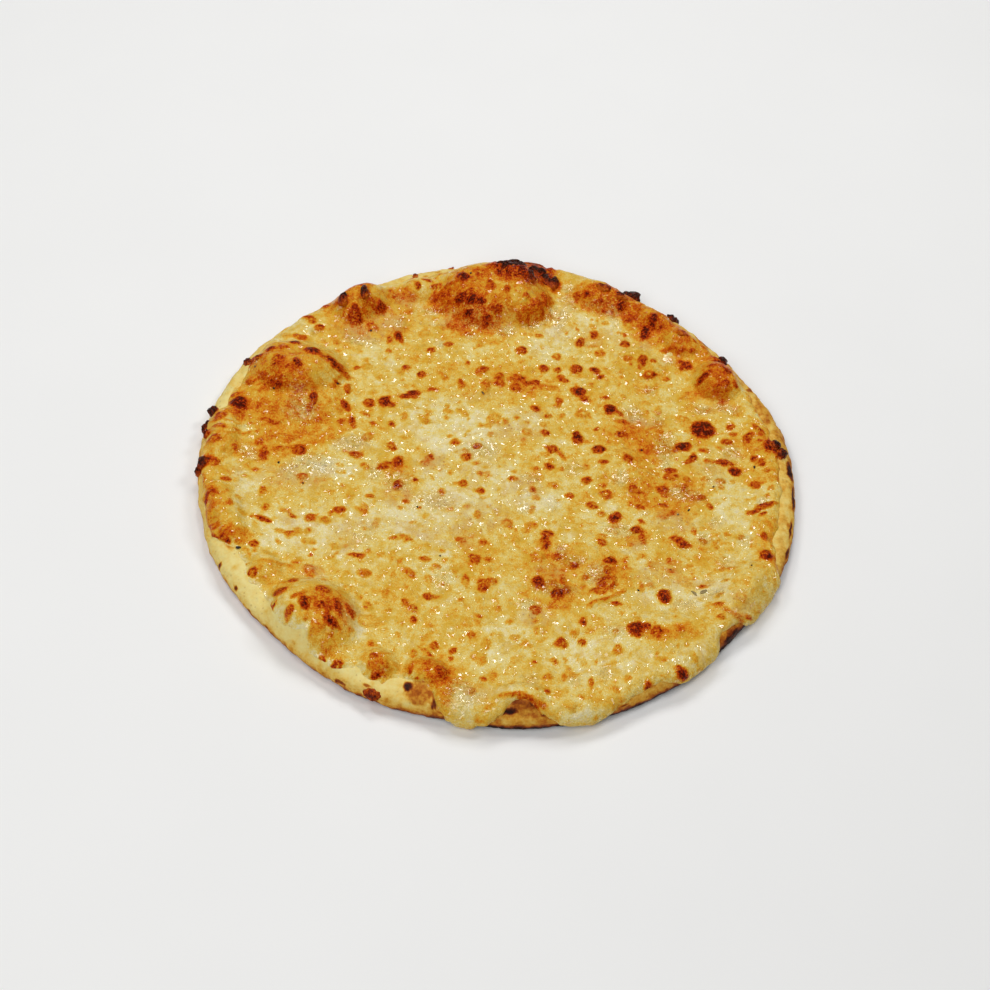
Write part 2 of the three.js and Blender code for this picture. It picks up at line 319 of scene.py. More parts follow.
def unroll_seen(places):
    """Places on the unrolled sheet for places that were listed at the sight height: each place is moved
    until its point on the cheese lies on its line of sight."""
    places = np.asarray(places, float)
    target = places - (0.0, SIGHT_SHIFT)
    flat = target.copy()
    eye = np.array(EYE)
    for _ in range(SIGHT_STEPS):
        angle = np.arctan2(flat[:, 1], flat[:, 0])
        path = np.hypot(flat[:, 0], flat[:, 1])
        point = surface(angle, path, cheese_over(angle, path)) + (SHIFT_X, SHIFT_Y, 0)
        share = (eye[2] - SIGHT_HEIGHT) / (eye[2] - point[:, 2])
        seen = eye[:2] + (point[:, :2] - eye[:2]) * share[:, None]
        flat += SIGHT_STEP * (target - seen)
        path = np.hypot(flat[:, 0], flat[:, 1])
        angle = np.arctan2(flat[:, 1], flat[:, 0])
        # Places stay where the shoulder hasn't yet turned out of sight
        turned = np.arctan2(eye[2], -eye[1] * np.sin(angle)) / QUARTER
        past = np.where(turned < 1, SHOULDER_LENGTH * turned, SHOULDER_LENGTH + MOST_OVERHANG)
        most = outline(angle) - CREST_INSET + past
        flat *= (np.minimum(path, most) / np.maximum(path, 1e-6))[:, None]
    return flat


def ovals(listed, values=1):
    """The marks of a list, each as x, y, length, width, turn and values from 0 to 1. A turn of 0 is left out
    of the list, and the values are in percent there."""
    marks = []
    for mark in listed:
        x, y, length, width, *turn = mark[:-values]
        marks.append((x, y, length, width, sum(turn), *(value / 100 for value in mark[-values:])))
    return marks


# The lists give places and sizes in millimetres and turns in degrees.

# Browned blisters: x, y, length, width, turn, and how far each is browned, from 40 for golden to 100 for
# black. They go from the back to the front of each quarter.
BLISTERS_BACK_LEFT = (
    (-30, 137, 8, 6, -30, 100), (-14, 134, 8, 3, -60, 90), (-5, 132, 4, 5, 86), (-44, 128, 6, 3, 30, 88),
    (-54, 127, 3, 4, 90), (-57, 133, 6, 5, 30, 80), (-49, 132, 4, 1, 90), (-42, 119, 9, 8, 82),
    (-37, 117, 6, 9, 78), (-29.5, 120.5, 7, 8, 100), (-23.5, 120, 6.5, 8, 100), (-18.5, 120, 5, 5.5, 96),
    (-10.5, 116, 8, 7, 90), (-25, 126, 6, 6, 84), (-24.5, 108, 6, 6.5, 97), (-14, 103, 6, 9, 93),
    (-24, 150, 12, 2.5, 5, 86), (-34, 146.5, 9, 2.5, 22, 84), (-20, 108, 16, 12, 78),
    (-33, 98, 9, 4, -45, 78), (-6, 146, 4, 7, 93), (-14, 148, 8, 3, -20, 90), (-22, 141, 2, 2, 93),
    (-36, 131, 8, 3, 82), (-24, 137, 5, 6, 76), (-85, 98, 8, 13, 15, 93), (-86, 106, 4, 4, 88),
    (-72, 108, 6, 8, 95), (-76, 108, 10, 8, 84), (-76, 89, 2, 1.6, 95), (-75, 92, 8, 4, -30, 76),
    (-108, 93, 4, 6, 30, 86), (-103, 87, 4, 4, -50, 84), (-112, 79, 7, 4, 76), (-96, 106, 3, 1.5, 94),
    (-102, 104, 4, 1.5, -30, 80), (-57, 106, 4, 5, -60, 62), (-90, 98, 6, 10, 30, 70),
    (-126, 68, 5, 3, 20, 97), (-120, 70, 5.3, 2.2, 85), (-114, 74, 5, 2.4, 95), (-104, 69, 7, 3.7, -25, 99),
    (-99, 66, 4.2, 2.2, -35, 86), (-93, 63, 8, 4, -42, 98), (-88, 59, 2.6, 4.4, 90),
    (-121, 62, 6, 3.3, 10, 92), (-122, 58, 5.2, 4.4, 80), (-111, 60, 4, 8, 15, 97), (-127, 48, 5, 5, 86),
    # The marks round (-120, 45) on the left bubble's front side are partly painted shade
    (-120, 45, 13, 8, -10, 86), (-115, 43, 7, 5, 84), (-106, 45, 14, 8, 70), (-117, 50, 9, 7, 72),
    (-99, 36, 4, 8, 10, 96), (-100, 29, 3, 6, 80), (-82, 33, 4, 7, 35, 96), (-82.5, 45, 4, 6, 86),
    (-84, 53.5, 3, 4, 30, 84), (-88, 48, 2, 1.6, 100), (-90, 45, 4, 3, 70), (-136, 27, 9, 9, 99),
    (-139, 33, 4, 3, 80), (-133, 43, 5, 5, 74), (-144, 17, 5, 5, 82), (-143, 11, 5, 2, -10, 82),
    (-137, 21, 10, 4, 80), (-119, 17, 9, 3, -20, 86), (-105, 8, 6, 3, 78), (-112, 8, 7, 3, 10, 72),
    (-134, 9, 3, 1.4, 70), (-122, 2, 4, 4, 84), (-144, 2, 6, 5, 84), (-102, 1, 8, 4, 86),
    (-93, 20, 4, 2.5, 78), (-83, 21, 3, 4, 86), (-77, 22, 3, 8, 20, 90), (-71, 28, 5, 2.5, -30, 74),
    (-70, 36, 6, 5.5, 90), (-62, 38.5, 6, 7, 20, 98), (-58.5, 36, 4, 3, 88), (-48, 45.5, 6, 5, 30, 96),
    (-52, 43, 5, 3, 20, 90), (-38, 50, 4, 2.5, 86), (-45, 60, 4.5, 4, 90), (-54, 64, 4.5, 2.6, 10, 87),
    (-79.5, 60, 3, 2, 82), (-42, 78.5, 4, 3, 88), (-22, 72, 3, 2.5, 82), (-33, 84.5, 5, 3, 10, 82),
    (-16, 86, 4, 2, 20, 60), (-60, 86, 4, 8, 20, 96), (-64.5, 83, 3, 4, 80), (-64, 75, 3.5, 3, 66),
    (-93, 77, 5, 3, -45, 56), (-14, 67, 8, 4, 45, 80), (-4, 64, 5, 5, 30, 84), (-4, 59, 6, 4, 82),
    (-11, 56, 5, 9, 68), (-24, 57, 4, 2, -60, 84), (-23, 54, 4, 2.5, 30, 78), (-33, 60, 3, 3, 66),
    (-57, 23, 4, 2.5, -40, 84), (-66, 22, 3, 3, 68), (-68, 13, 4, 6, -20, 70), (-55, 8, 4, 5, 20, 88),
    (-73, 0, 6, 4, 88), (-23, 15, 4, 4, 80), (-12, 14, 4, 4, 82), (-17, 6, 5, 4, 45, 82), (-35, 3, 4, 4, 88),
    (-39, 33, 3, 4, 60), (-40, 28, 4, 4, 62), (-51, 29, 3, 5, 66), (-20, 35, 3, 3, 56),
    (-29, 36, 4, 2.5, 58), (-6, 23, 3, 2, 45, 60), (-49, 15, 4, 2, 50), (-40, 7, 5, 2, -45, 50),
    (-5, 34, 7, 5, 60, 55), (-66, 55, 4, 3, 50), (-74, 62, 6, 4, 50), (-75, 66, 3, 3, 50),
    (-39, 96, 4, 5, 50), (-47, 90, 6, 6, 50), (-17, 95, 4, 3, 56), (-50, 79, 4, 3, 50),
)
BLISTERS_BACK_RIGHT = (
    (3, 146, 8, 6, 97), (18, 150, 5, 1.6, 92), (16, 127, 4, 5, 90), (6, 127, 4, 5, 80),
    (12, 118, 9, 16, -25, 78), (5, 112, 8, 12, -20, 72), (6, 109, 9, 9, 74), (13, 115, 9, 9, 40, 78),
    (17.5, 123, 5, 13, -18, 76), (34, 132, 5, 5, 93), (39, 133, 3, 5, 93), (46, 128, 6, 5, 84),
    (49, 121, 4, 5, 76), (58, 127, 6, 9, -10, 95), (69, 126, 6, 2.5, -25, 82), (76, 118, 7, 11, 20, 98),
    (80, 113, 4, 3, 86), (72, 107, 5, 10, -10, 100), (62, 116, 6, 4, 92), (63, 111, 8, 3, -50, 66),
    (84, 116, 9, 6, -20, 76), (90, 111, 4, 2, 94), (98, 97, 5, 4, 88), (92, 97, 5, 3, 80),
    (85, 96, 8, 5, 76), (94, 85, 7, 7, 92), (91, 88, 2.5, 2, 86), (104, 79, 9, 4, 45, 96),
    (112, 79, 4, 2, -50, 88), (116, 76, 6, 2.5, -50, 92), (121, 75, 3, 4, 86), (108, 87, 5, 2, 86),
    (116, 85, 8, 2, -40, 94), (114, 72, 9, 8, 78), (106, 67, 6, 5, 70), (61, 97, 5, 5, 90),
    (44, 102, 4.5, 5, 88), (37, 95, 4.5, 7, -15, 93), (15, 97, 4, 2.5, -20, 76), (6, 98, 4, 3, 50),
    (6, 85, 6, 5, 88), (25, 83, 4, 4, 78), (48, 88, 5, 4, 74), (71, 86, 4, 9, -15, 90),
    (77, 87, 3, 1.6, -10, 90), (63, 87, 5, 4, 72), (65, 83, 3, 2, 45, 70), (75, 76, 7, 5, 20, 86),
    (84, 74, 3.5, 3, 78), (36, 75, 6, 6, 92), (46, 75, 4, 5, 40, 94), (49, 71, 4, 2.6, 60, 88),
    (19, 73, 5, 5, 90), (26, 73, 3, 3, 84), (12, 71, 4, 5, 56), (28, 69, 4, 2.6, 82),
    (30, 66, 5, 2.6, -10, 87), (5, 64, 9, 4, 15, 86), (11, 61, 8, 3, -20, 90), (15, 62, 4, 3, 88),
    (5, 57, 6, 6, 82), (20, 59, 14, 4, 64), (28, 51, 4, 3.5, 84), (27, 47, 3, 2, 70),
    (38, 59, 8, 6, -20, 98), (42, 54, 5, 3.5, 92), (44, 64, 3, 3, 66), (52, 56, 4, 2, 82),
    (62, 58, 3, 3, 56), (55, 48, 6, 6, 98), (59, 46, 5, 3, -30, 90), (16, 43.5, 5, 3, -35, 86),
    (23, 39, 3.5, 2.5, 82), (41, 43, 7, 5, 60), (48, 33.5, 3, 2, 30, 88), (62, 40.5, 7, 2.6, -10, 80),
    (78, 37, 3, 3, 70), (80, 51, 3, 5, 58), (61, 31.5, 6, 3.6, 93), (38, 29, 3, 4, 95), (39, 25.5, 6, 6, 97),
    (22, 27.5, 4.5, 3.5, 86), (13, 27, 5, 4, 66), (1, 32, 3, 3, 74), (7, 36, 3, 1.6, 70),
    (12, 33.5, 1.6, 1.6, 76), (50, 20, 6, 4.5, 10, 96), (26, 17, 6, 4.5, 89), (31, 13, 6, 2, -60, 74),
    (65, 15.5, 6, 6, 82), (72, 22, 2, 1.6, 84), (77, 24, 5, 4, 60), (75, 27, 8, 3, -45, 66),
    (53, 12, 3.5, 2, 84), (25.5, 5, 5, 4, 90), (18, 3, 3.5, 3, 66), (32, 4, 2.6, 2.6, 66), (44, 7, 4, 3, 64),
    (93, 27, 8, 5, 20, 98), (90, 25, 5, 4, 90), (98, 20, 4, 6, -20, 92), (96, 17, 5, 3, 20, 82),
    (103, 40, 13, 11, 100), (104, 26, 5, 3, -15, 74), (116, 33, 5, 4, 82), (118, 44, 3, 4, -30, 80),
    (127, 38, 4, 7, -20, 88), (133, 37, 2, 2, 86), (133, 44, 8, 2.6, -45, 88), (114, 19, 9, 4, -5, 90),
    (107, 19, 5, 3, 74), (120, 14, 7, 5, -30, 97), (130, 24.5, 4, 4, 84), (134, 21.5, 4, 5, 84),
    (87, 10, 5, 3.5, 95), (87, 6, 7, 5, 80), (95, 5, 4, 2.6, -20, 78), (112, 6, 5, 3, 64),
    (130, 6, 6, 4, 80), (119, 39, 4, 2.6, 70), (93, 46, 7, 4, -20, 60), (105, 7, 3, 2.4, 66),
    (137, 17, 3, 2.6, 66), (113, 2, 3, 2, 60), (61, 104, 2, 2, 76), (43, 93, 6, 2, 60), (83, 81, 3, 3, 50),
    (79, 124, 3, 1.4, -30, 80), (99, 105, 3, 1.5, -45, 80), (137, 52, 6, 3, -60, 62),
    (140, 42, 6, 4, -60, 60),
)
BLISTERS_FRONT_LEFT = (
    (-51, -2, 5.5, 7, 97), (-57, -5, 8, 4, 35, 84), (-37, -1, 5, 4, 70), (-9, -4, 3, 2, 72),
    (-49, -17, 5, 6, -20, 92), (-41, -13, 2, 1.8, 93), (-44, -27, 2.6, 2.6, 78), (-37, -30, 1.5, 1.4, 86),
    (-17, -12, 4, 4, 20, 90), (-8, -16, 4, 3, -30, 82), (-27, -19, 3, 4, 70), (-8, -31, 3, 4, 80),
    (-14, -27, 3, 2, 66), (-101, -1, 7, 5, 92), (-118, -5, 5, 8, 10, 90), (-111, -1, 8, 3, 20, 76),
    (-133, -3, 4, 4, 86), (-139, -5, 4, 2, 20, 66), (-141, -14, 4, 4, 92), (-97, -18, 5, 5, 76),
    (-96, -22, 1.6, 1.4, 86), (-99.5, -17.5, 1.3, 1.2, 90), (-134, -24, 5, 2.6, 84), (-115, -29, 4, 4.5, 88),
    (-121, -16, 3, 1.4, 80), (-125, -14, 3, 1.2, -20, 70), (-138, -33, 5, 3, -50, 90),
    (-130, -38, 2.6, 3, 86), (-141, -36, 1.6, 9, -8, 98), (-139, -33, 4, 2.5, 30, 94),
    (-138, -44, 3, 12, 5, 72), (-141, -30, 3, 10, 10, 66), (-112, -39, 3, 4, 78),
    (-98.5, -43, 4, 2.5, -25, 86), (-102, -40, 4, 2, 62), (-76, -36.5, 5, 3.5, 10, 90),
    (-80, -39, 2, 1.8, 84), (-64, -35, 3.4, 6, 70), (-62, -26, 4, 2.6, 80), (-72, -27, 3.5, 3.5, 58),
    (-89, -43.5, 5, 3.5, 87), (-82, -44, 5, 4, 66), (-67, -7, 4, 2.8, 76), (-112, -47, 7, 2.8, -15, 92),
    (-97.5, -54, 4, 2.5, 84), (-89.5, -51, 3, 3, 70), (-94, -52, 4, 2, -30, 60), (-103, -53, 4, 2.6, 56),
    (-57, -43, 3, 5, 56), (-45, -50, 8, 2, 15, 72), (-40, -51, 4, 2.2, 20, 80), (-15, -48, 5, 2.8, -20, 80),
    (-4, -48, 3.4, 2.8, 84), (-7, -59, 5, 5, 92), (-9, -57, 2, 2, 90), (-1, -58, 3, 3, 78),
    (-136, -56, 7, 5, 84), (-128, -62, 7, 4, -25, 97), (-134, -60, 8, 3, -30, 84),
    (-127, -58, 16, 6, -25, 72), (-114, -62.5, 3.6, 3.6, 92), (-124, -54, 6, 1.6, -10, 74),
    (-117, -69, 4, 8, 25, 66), (-64, -63.5, 6, 2.5, -10, 93), (-59, -61, 3, 2, 70), (-75, -60, 4, 3, 60),
    (-86, -66, 1.5, 1.5, 76), (-31, -62, 4, 2.2, 82), (-25, -65, 3.4, 3, 58), (-38, -71, 6, 4, -50, 76),
    (-28, -74, 4, 4, 60), (-10.5, -72, 3, 6, 72), (-2, -74.5, 5, 7, 90), (-85, -76, 8, 5, -50, 72),
    (-101, -73, 15, 1.0, 5, 58), (-93, -72, 2.6, 1.4, 80), (-59, -74, 6, 4, 70), (-112, -80.5, 4.6, 5.6, 94),
    (-115, -75.5, 3, 2, 80), (-92, -82.5, 4.5, 3, 86), (-48, -84, 4, 2.6, 10, 70), (-28, -84, 5, 4, 84),
    (-25, -84, 7, 2, 10, 76), (-12, -83.5, 2, 1.5, 78), (-66, -84, 5, 4, 52), (-97, -89.5, 7, 3.6, -8, 96),
    (-77, -86, 7, 3, -5, 93), (-85, -94.5, 5, 7, 20, 98), (-82, -92, 5, 2, 30, 90), (-76, -95, 8, 3, -5, 96),
    (-73, -98, 3, 4, 84), (-69, -95, 4, 9, 20, 97), (-63, -97, 3, 6, 30, 92), (-72, -103, 7, 5, -30, 99),
    (-69, -106, 4, 3, 97), (-77, -108, 8, 3, 25, 78), (-99.5, -99, 3.6, 5, 20, 96),
    (-91.5, -100, 3.6, 6, 95), (-91, -106, 2.5, 5, -25, 76), (-83, -104, 1.2, 2.6, 88),
    (-88, -90, 6, 2, 30, 80), (-38, -89, 3.4, 4, 20, 88), (-34, -92, 5, 4, 80), (-33, -98, 3.6, 3, 84),
    (-55, -93, 3, 5, 30, 70), (-45, -95, 3, 2, 66), (-2, -93, 3, 1.8, -20, 78), (-8, -98, 4, 2, 60),
    (-5, -104, 4, 3, -20, 80), (-26, -101, 4, 1.4, 10, 60), (-51, -114, 3, 2.6, 78), (-22, -112, 4, 4, 86),
    (-13, -114, 3, 2.4, 94), (-13, -118, 2, 1.4, 84), (-49, -121, 4, 3.6, -20, 90), (-44, -125, 6, 7, 74),
    (-54, -126, 3, 3.4, 70), (-47, -132, 5, 3.6, 96), (-38, -126, 4, 4, 60), (-72.5, -126, 4.5, 4, 88),
    (-65, -128, 5.5, 5, 92), (-31, -118, 3, 4, 74), (-31, -127, 2, 7, 84), (-17, -126, 6, 7, 20, 92),
    (-26, -131, 8, 1.8, -15, 80), (-25, -116, 6, 1.4, -35, 84), (-28, -135, 5, 4, 93),
    (-53, -102, 10, 6, 55), (-88, -58, 6, 3, 50), (-2, -115, 4, 5, 56), (-3, -135, 5, 4, 60),
    (-10, -129, 3, 2, 60),
)
BLISTERS_FRONT_RIGHT = (
    (8, -6, 4, 3.4, 82), (18, -11.5, 4, 3.6, 86), (20, -16, 3, 3, 66), (28, -7, 4, 3, -20, 70),
    (45, -2, 4.5, 4, 86), (37, -13, 4, 3, -20, 82), (55, -10, 6, 5, 87), (53, -4, 4, 3, -40, 70),
    (48, -18, 5, 4, 90), (53, -23, 4, 3, 70), (68, -4, 4, 6, 93), (71, -6, 4, 3, 88),
    (72, -16, 4, 3, -20, 86), (68, -14, 4, 2, -40, 76), (83, -3, 5, 5, 93), (84, -7, 3, 2.6, 88),
    (83.5, -13, 4.5, 2.6, 87), (103, -6, 4, 3.4, 87), (107, -11, 3.4, 4, 78), (86, -18, 10, 4, 72),
    (84, -21, 4, 2, 74), (94, 0, 3, 4, 84), (134, -7.5, 8, 3.6, 25, 96), (139, -4.5, 4, 1.6, 30, 84),
    (129, -12, 6, 2, 15, 88), (134, -12.5, 3, 1.4, 25, 94), (60, -24, 6, 6, 96), (73, -25, 2, 2, 80),
    (71, -31, 6, 5, 97), (74, -36, 3, 6, 20, 90), (134, -27, 4, 4, 88), (99, -28, 3, 4, 68),
    (110, -29, 3, 2, 60), (116, -28, 3, 1.6, 70), (91, -34, 6, 3.6, -15, 92), (94, -37, 7, 4, -10, 97),
    (104, -34, 3, 3, 76), (110, -36, 3, 4, 60), (134.5, -39, 6, 5.6, 98), (27, -39, 6, 3.6, -5, 95),
    (25.5, -43, 4, 3.6, 97), (27, -46, 3.4, 5, 93), (54, -41, 4.5, 4, 87), (54, -37, 4, 2.6, 66),
    (16, -38, 4, 2.6, 68), (19, -34, 5, 2.6, 74), (7, -34.5, 5, 5, 66), (9, -37, 2, 2, 74),
    (12, -45, 3, 3, 60), (32, -53, 5, 4, 87), (23, -54, 8, 5, 68), (41, -57, 4.5, 4.5, 88),
    (58.5, -52, 6, 4, 98), (66, -51, 2, 3.6, 82), (87, -48, 3, 4, 80), (88, -54, 2.6, 2, 90),
    (78, -52, 3, 3, 76), (74, -47, 3, 2, 74), (57, -66, 10, 8, 84), (57, -58, 4.5, 5, 87),
    (61, -62, 3, 3, 86), (53, -71, 8, 3, 82), (24.5, -69, 6, 6.5, 99), (31, -68, 3, 2.4, 90),
    (36, -67, 3.4, 3.4, 90), (34, -75, 7, 7, 97), (38, -72, 4, 4, 87), (2, -71, 5, 4, 78),
    (46, -69, 3, 3, 72), (47, -63, 3, 3, 72), (78, -65, 3, 3, 66), (74, -66, 2, 4, 66),
    (85, -70, 6.5, 7, 98), (111, -71.5, 4, 1.6, 88), (103, -62, 2, 2, 84), (105, -62, 1.4, 1.4, 80),
    (112.5, -79, 3, 3, 90), (120, -78, 8, 2, -20, 70), (122, -66, 4, 4, 60), (95, -61, 5, 3, 58),
    (99, -57, 3, 1.6, 66), (97, -50, 3, 2, 60), (115, -50, 8, 2, 60), (62, -77.5, 4.5, 2, -10, 94),
    (55, -76, 11, 1.6, 30, 78), (24, -86, 5, 4, 90), (24, -92, 2.4, 2, 87), (6, -87, 3, 3.4, 74),
    (12, -94, 3, 2, 70), (47, -90, 3.4, 4, 93), (43, -97, 3, 4, 66), (47, -102, 3.6, 3.6, 90),
    (36.5, -103, 5, 4.5, 92), (39, -104, 3, 3, 88), (15, -103, 4, 3, 66), (20, -107, 6, 2, 60),
    (27, -97, 5, 4, 56), (72, -91, 8, 8, 99), (77, -89, 4, 4, 93), (82, -91, 5, 7, 94),
    (93, -89, 4.5, 3, 10, 86), (91, -94, 2, 1.4, 74), (62, -94, 3, 3, 66), (72, -85, 3, 2, 60),
    (64, -104, 3.4, 5, 80), (85, -107, 3, 2, 68), (100, -104, 2, 4, 66), (94, -114, 5.5, 6.5, 100),
    (78.5, -123, 5, 5, 20, 97), (34.5, -114, 3, 3, 82), (25, -115, 1.4, 1.4, 86), (48, -113, 3, 3, 56),
    (17, -115, 5, 3, 50), (32, -123, 4, 3, 68), (52, -124, 2, 4.4, 80), (39.5, -122, 2, 3.4, 70),
    (7, -125, 4, 2, 10, 70), (2.5, -127.5, 2.6, 2, 88), (32, -131, 2.6, 2, 84), (43, -138, 4, 5, 50),
    (66, -131, 4, 3, 60), (69, -119, 3, 2, 60), (62, -112, 2.6, 2.6, 50), (21, -134.5, 6, 1.5, 88),
    (25, -139, 8, 3, -20, 96), (18, -142, 7, 3.6, 40, 100), (6, -143, 5, 2, 30, 56), (2, -108, 4, 6, 60),
    (1, -117, 4, 6, 60),
)

BLISTERS = BLISTERS_BACK_LEFT + BLISTERS_BACK_RIGHT + BLISTERS_FRONT_LEFT + BLISTERS_FRONT_RIGHT

# Wide areas that are more or less browned than the rest; those on the air bubbles' front sides and in their
# hollows are partly painted shade: x, y, length, width, turn, browning, and how much of what lies under it
# each area hides
BAKED_AND_SHADED_AREAS = (
    (-24, 23, 57, 41, 7, 85), (-37, -25, 64, 52, 15, 10, 75), (-61, -36, 32, 36, 16, 60),
    (-6, -10, 45, 37, 15, 80), (26, 16, 23, 27, 16, 70), (55, -106, 58, 34, 17, 80),
    (8, -105, 31, 34, 10, 70), (-93, -53, 48, 35, 7, 75), (-84, -12, 30, 18, 4, 80),
    (10, 92, 49, 27, 12, 75), (122, -8, 33, 39, 14, 70), (52, -28, 22, 36, 14, 70),
    (124, 61, 24, 26, 14, 60), (47, 112, 36, 19, -5, 12, 80), (-62, 121, 31, 20, 10, 80),
    (-127, -25, 25, 23, 14, 70), (-12, -137, 27, 15, 12, 70), (50, -140, 41, 10, 12, 70),
    (102, -65, 36, 30, 8, 75), (-69, 73, 32, 30, 14, 60), (22, -18, 25, 23, 8, 70),
    (73, -49, 20, 25, 14, 50), (-67, -67, 34, 24, 12, 60), (-24, -62, 24, 30, 12, 60),
    (102, -105, 24, 17, 20, 12, 60), (9, 35, 31, 21, 10, 60), (-22, 89, 27, 18, 14, 60),
    (71, 43, 16, 17, 20, 40), (-58, -102, 14, 29, 12, 60), (26, 103, 33, 15, 10, 60),
    (-114, 91, 32, 23, 30, 20, 50), (81, -73, 24, 18, 10, 60), (-116, 50, 57, 58, -10, 56, 90),
    (-113, 49, 26, 20, -5, 64, 80), (-135, 26, 13, 17, 72, 60), (-104, 20, 56, 44, 10, 54, 85),
    (-116, 0, 35, 23, 52, 70), (-138, -5, 22, 47, 52, 70), (-137, -38, 17, 36, 58, 70),
    (-124, -56, 22, 16, 30, 60, 70), (-88, 111, 36, 44, 62, 80), (-69, 96, 32, 38, -20, 56, 60),
    (-19, 124, 75, 57, 58, 85), (-24, 117, 36, 33, 61, 70), (14, 124, 18, 41, 64, 60),
    (-21, 104, 32, 20, 8, 64, 75), (-40, 118, 14, 15, 74, 80), (9, 113, 15, 20, -25, 68, 70),
    (-26, 141, 26, 14, -12, 66, 60), (16, 125, 7, 19, -20, 66, 60), (-9, 135, 14, 17, 40, 85),
    (2, 129, 12, 12, 46, 60), (-4, 118, 10, 20, 46, 60), (7, 150, 39, 11, -5, 86, 60),
    (48, 133, 42, 24, -10, 66, 80), (76, 116, 39, 28, -25, 68, 75), (98, 102, 36, 38, -30, 60, 80),
    (66, 136, 34, 14, -20, 72, 60), (111, 79, 28, 38, -30, 62, 80), (70, 78, 34, 37, 48, 60),
    (69, 29, 44, 41, 59, 75), (83, -5, 53, 34, 59, 75), (7, 63, 55, 29, -5, 50, 65),
    (10, 59, 18, 14, 62, 60), (34, -62, 47, 43, 54, 70), (61, -59, 19, 37, 57, 60),
    (28, -43, 15, 25, 58, 60), (33, -80, 20, 12, 66, 60), (88, -90, 32, 15, 64, 60),
    (135, 31, 31, 58, -20, 51, 70), (143, 18, 10, 61, -20, 56, 60), (137, -29, 20, 42, 51, 60),
    (-73, -95, 29, 29, 62, 75), (-103, -88, 30, 26, -30, 50, 60), (-48, -126, 20, 22, 58, 70),
    (-22, -129, 39, 33, 58, 75), (-18, -126, 15, 18, 70, 60), (-48, -14, 22, 39, 53, 60),
    (-5, -60, 29, 37, 48, 50), (-110, -82, 19, 20, -30, 52, 50), (-30, 58, 32, 29, 46, 50),
    (-88, 80, 27, 30, 46, 50), (-53, 77, 32, 22, 42, 40), (97, -46, 40, 37, 47, 50),
    (123, 25, 26, 28, 52, 50), (-6, -95, 28, 29, 44, 40), (-40, -88, 28, 29, 46, 40),
    (-77, -114, 26, 28, 56, 70), (102, 61, 32, 22, 50, 50), (49, 54, 26, 21, 48, 40),
    (129, 63, 6, 30, 22, 60, 70), (-62, 118, 22, 14, 68, 85), (-57, 128, 10, 8, 56, 60),
    (63, 123, 20, 18, -20, 78, 60), (121, 57, 10, 16, 52, 60), (-124, -65, 14, 8, 20, 52, 60),
    (51, -91, 14, 16, 46, 70), (102, 33, 12, 12, 68, 60), (34, 16, 14, 10, 46, 60),
    (-135, 19, 16, 10, 68, 60), (-50, -130, 22, 10, 56, 60), (-26, -133, 20, 12, 68, 70),
    (-11, -143, 12, 8, 52, 60), (-103, -71, 20, 8, 16, 70), (-121, -50, 14, 10, 20, 70),
    (105, 59, 16, 8, 26, 80), (-42, 101, 14, 12, 20, 80), (-34, 93, 12, 8, 28, 80), (27, -78, 12, 8, 28, 80),
    (72, 5, 12, 10, 36, 80), (14, -134, 16, 9, 12, 85), (85, -84, 12, 8, 14, 70), (28, -33, 14, 8, 12, 80),
    (58, 36, 12, 8, 38, 70), (-11, 125, 12, 8, 48, 80), (17, 110, 10, 8, 36, 70), (-100, 6, 12, 8, 36, 80),
    (-133, 37, 14, 12, 42, 60), (-84, 28, 16, 22, 46, 50), (74, -86, 12, 10, 30, 80),
    (37, -39, 10, 8, 10, 80), (138, -41, 8, 12, 66, 60), (-18, 133, 10, 8, 70, 70), (-79, 87, 10, 8, 56, 70),
    (-133, -14, 10, 10, 20, 70), (-44, -134, 14, 8, 62, 70), (60, -28, 8, 8, 62, 60),
    (73, -34, 10, 8, 70, 60), (67, -39, 16, 8, 54, 60), (91, -97, 10, 8, 20, 70), (56, 2.5, 12, 6, 50, 60),
    (-60, 90, 8, 6, 34, 60), (-33, -48, 10, 8, 4, 80), (108, -74, 12, 8, 50, 60), (-32, 141, 10, 6, 68, 60),
)

# Where the sauce shows pinkish through the cheese: x, y, length, width, turn, strength
SAUCE_PATCHES = (
    (-80, 86, 28, 12, 90), (-68, 98, 20, 18, 70), (-58, 114, 20, 10, 60), (-105, 30, 20, 14, 50),
    (70, 42, 18, 8, -10, 80), (-75, 6, 20, 14, 60), (-48, -24, 16, 18, 80), (-84, -78, 14, 12, 80),
    (-62, -98, 14, 20, 50), (24, -90, 18, 12, 80), (-70, -58, 26, 14, 50), (-14, -40, 22, 12, 60),
    (88, -24, 24, 14, 70), (70, -42, 20, 8, 30, 60), (104, -60, 14, 10, 60), (72, 100, 8, 16, 60),
    (112, 58, 26, 8, 25), (-20, 46, 40, 8, 20, 35), (12, 40, 24, 10, 40), (-12, -4, 26, 10, 40),
    (30, -62, 20, 10, 40), (-130, -20, 10, 14, 40), (0, -136, 18, 10, 50), (106, 14, 20, 10, 40),
    (50, 122, 26, 8, -10, 50), (26, 120, 10, 30, -15, 40), (-95, -46, 24, 12, -20, 40),
    (120, -70, 14, 16, 40), (-33, -1, 20, 22, 70), (6, 27, 34, 16, 10, 70), (-8, -31, 32, 22, 60),
    (14, -13, 20, 26, 70), (-26, -24, 26, 12, 60), (-12, 8, 36, 20, 40), (-100, -16, 40, 22, 60),
    (-30, -45, 50, 14, -15, 50), (-66, -46, 30, 14, 20, 50), (84, -58, 30, 20, 50), (40, 100, 60, 16, 40),
    (-26, 104, 60, 14, 50),
)

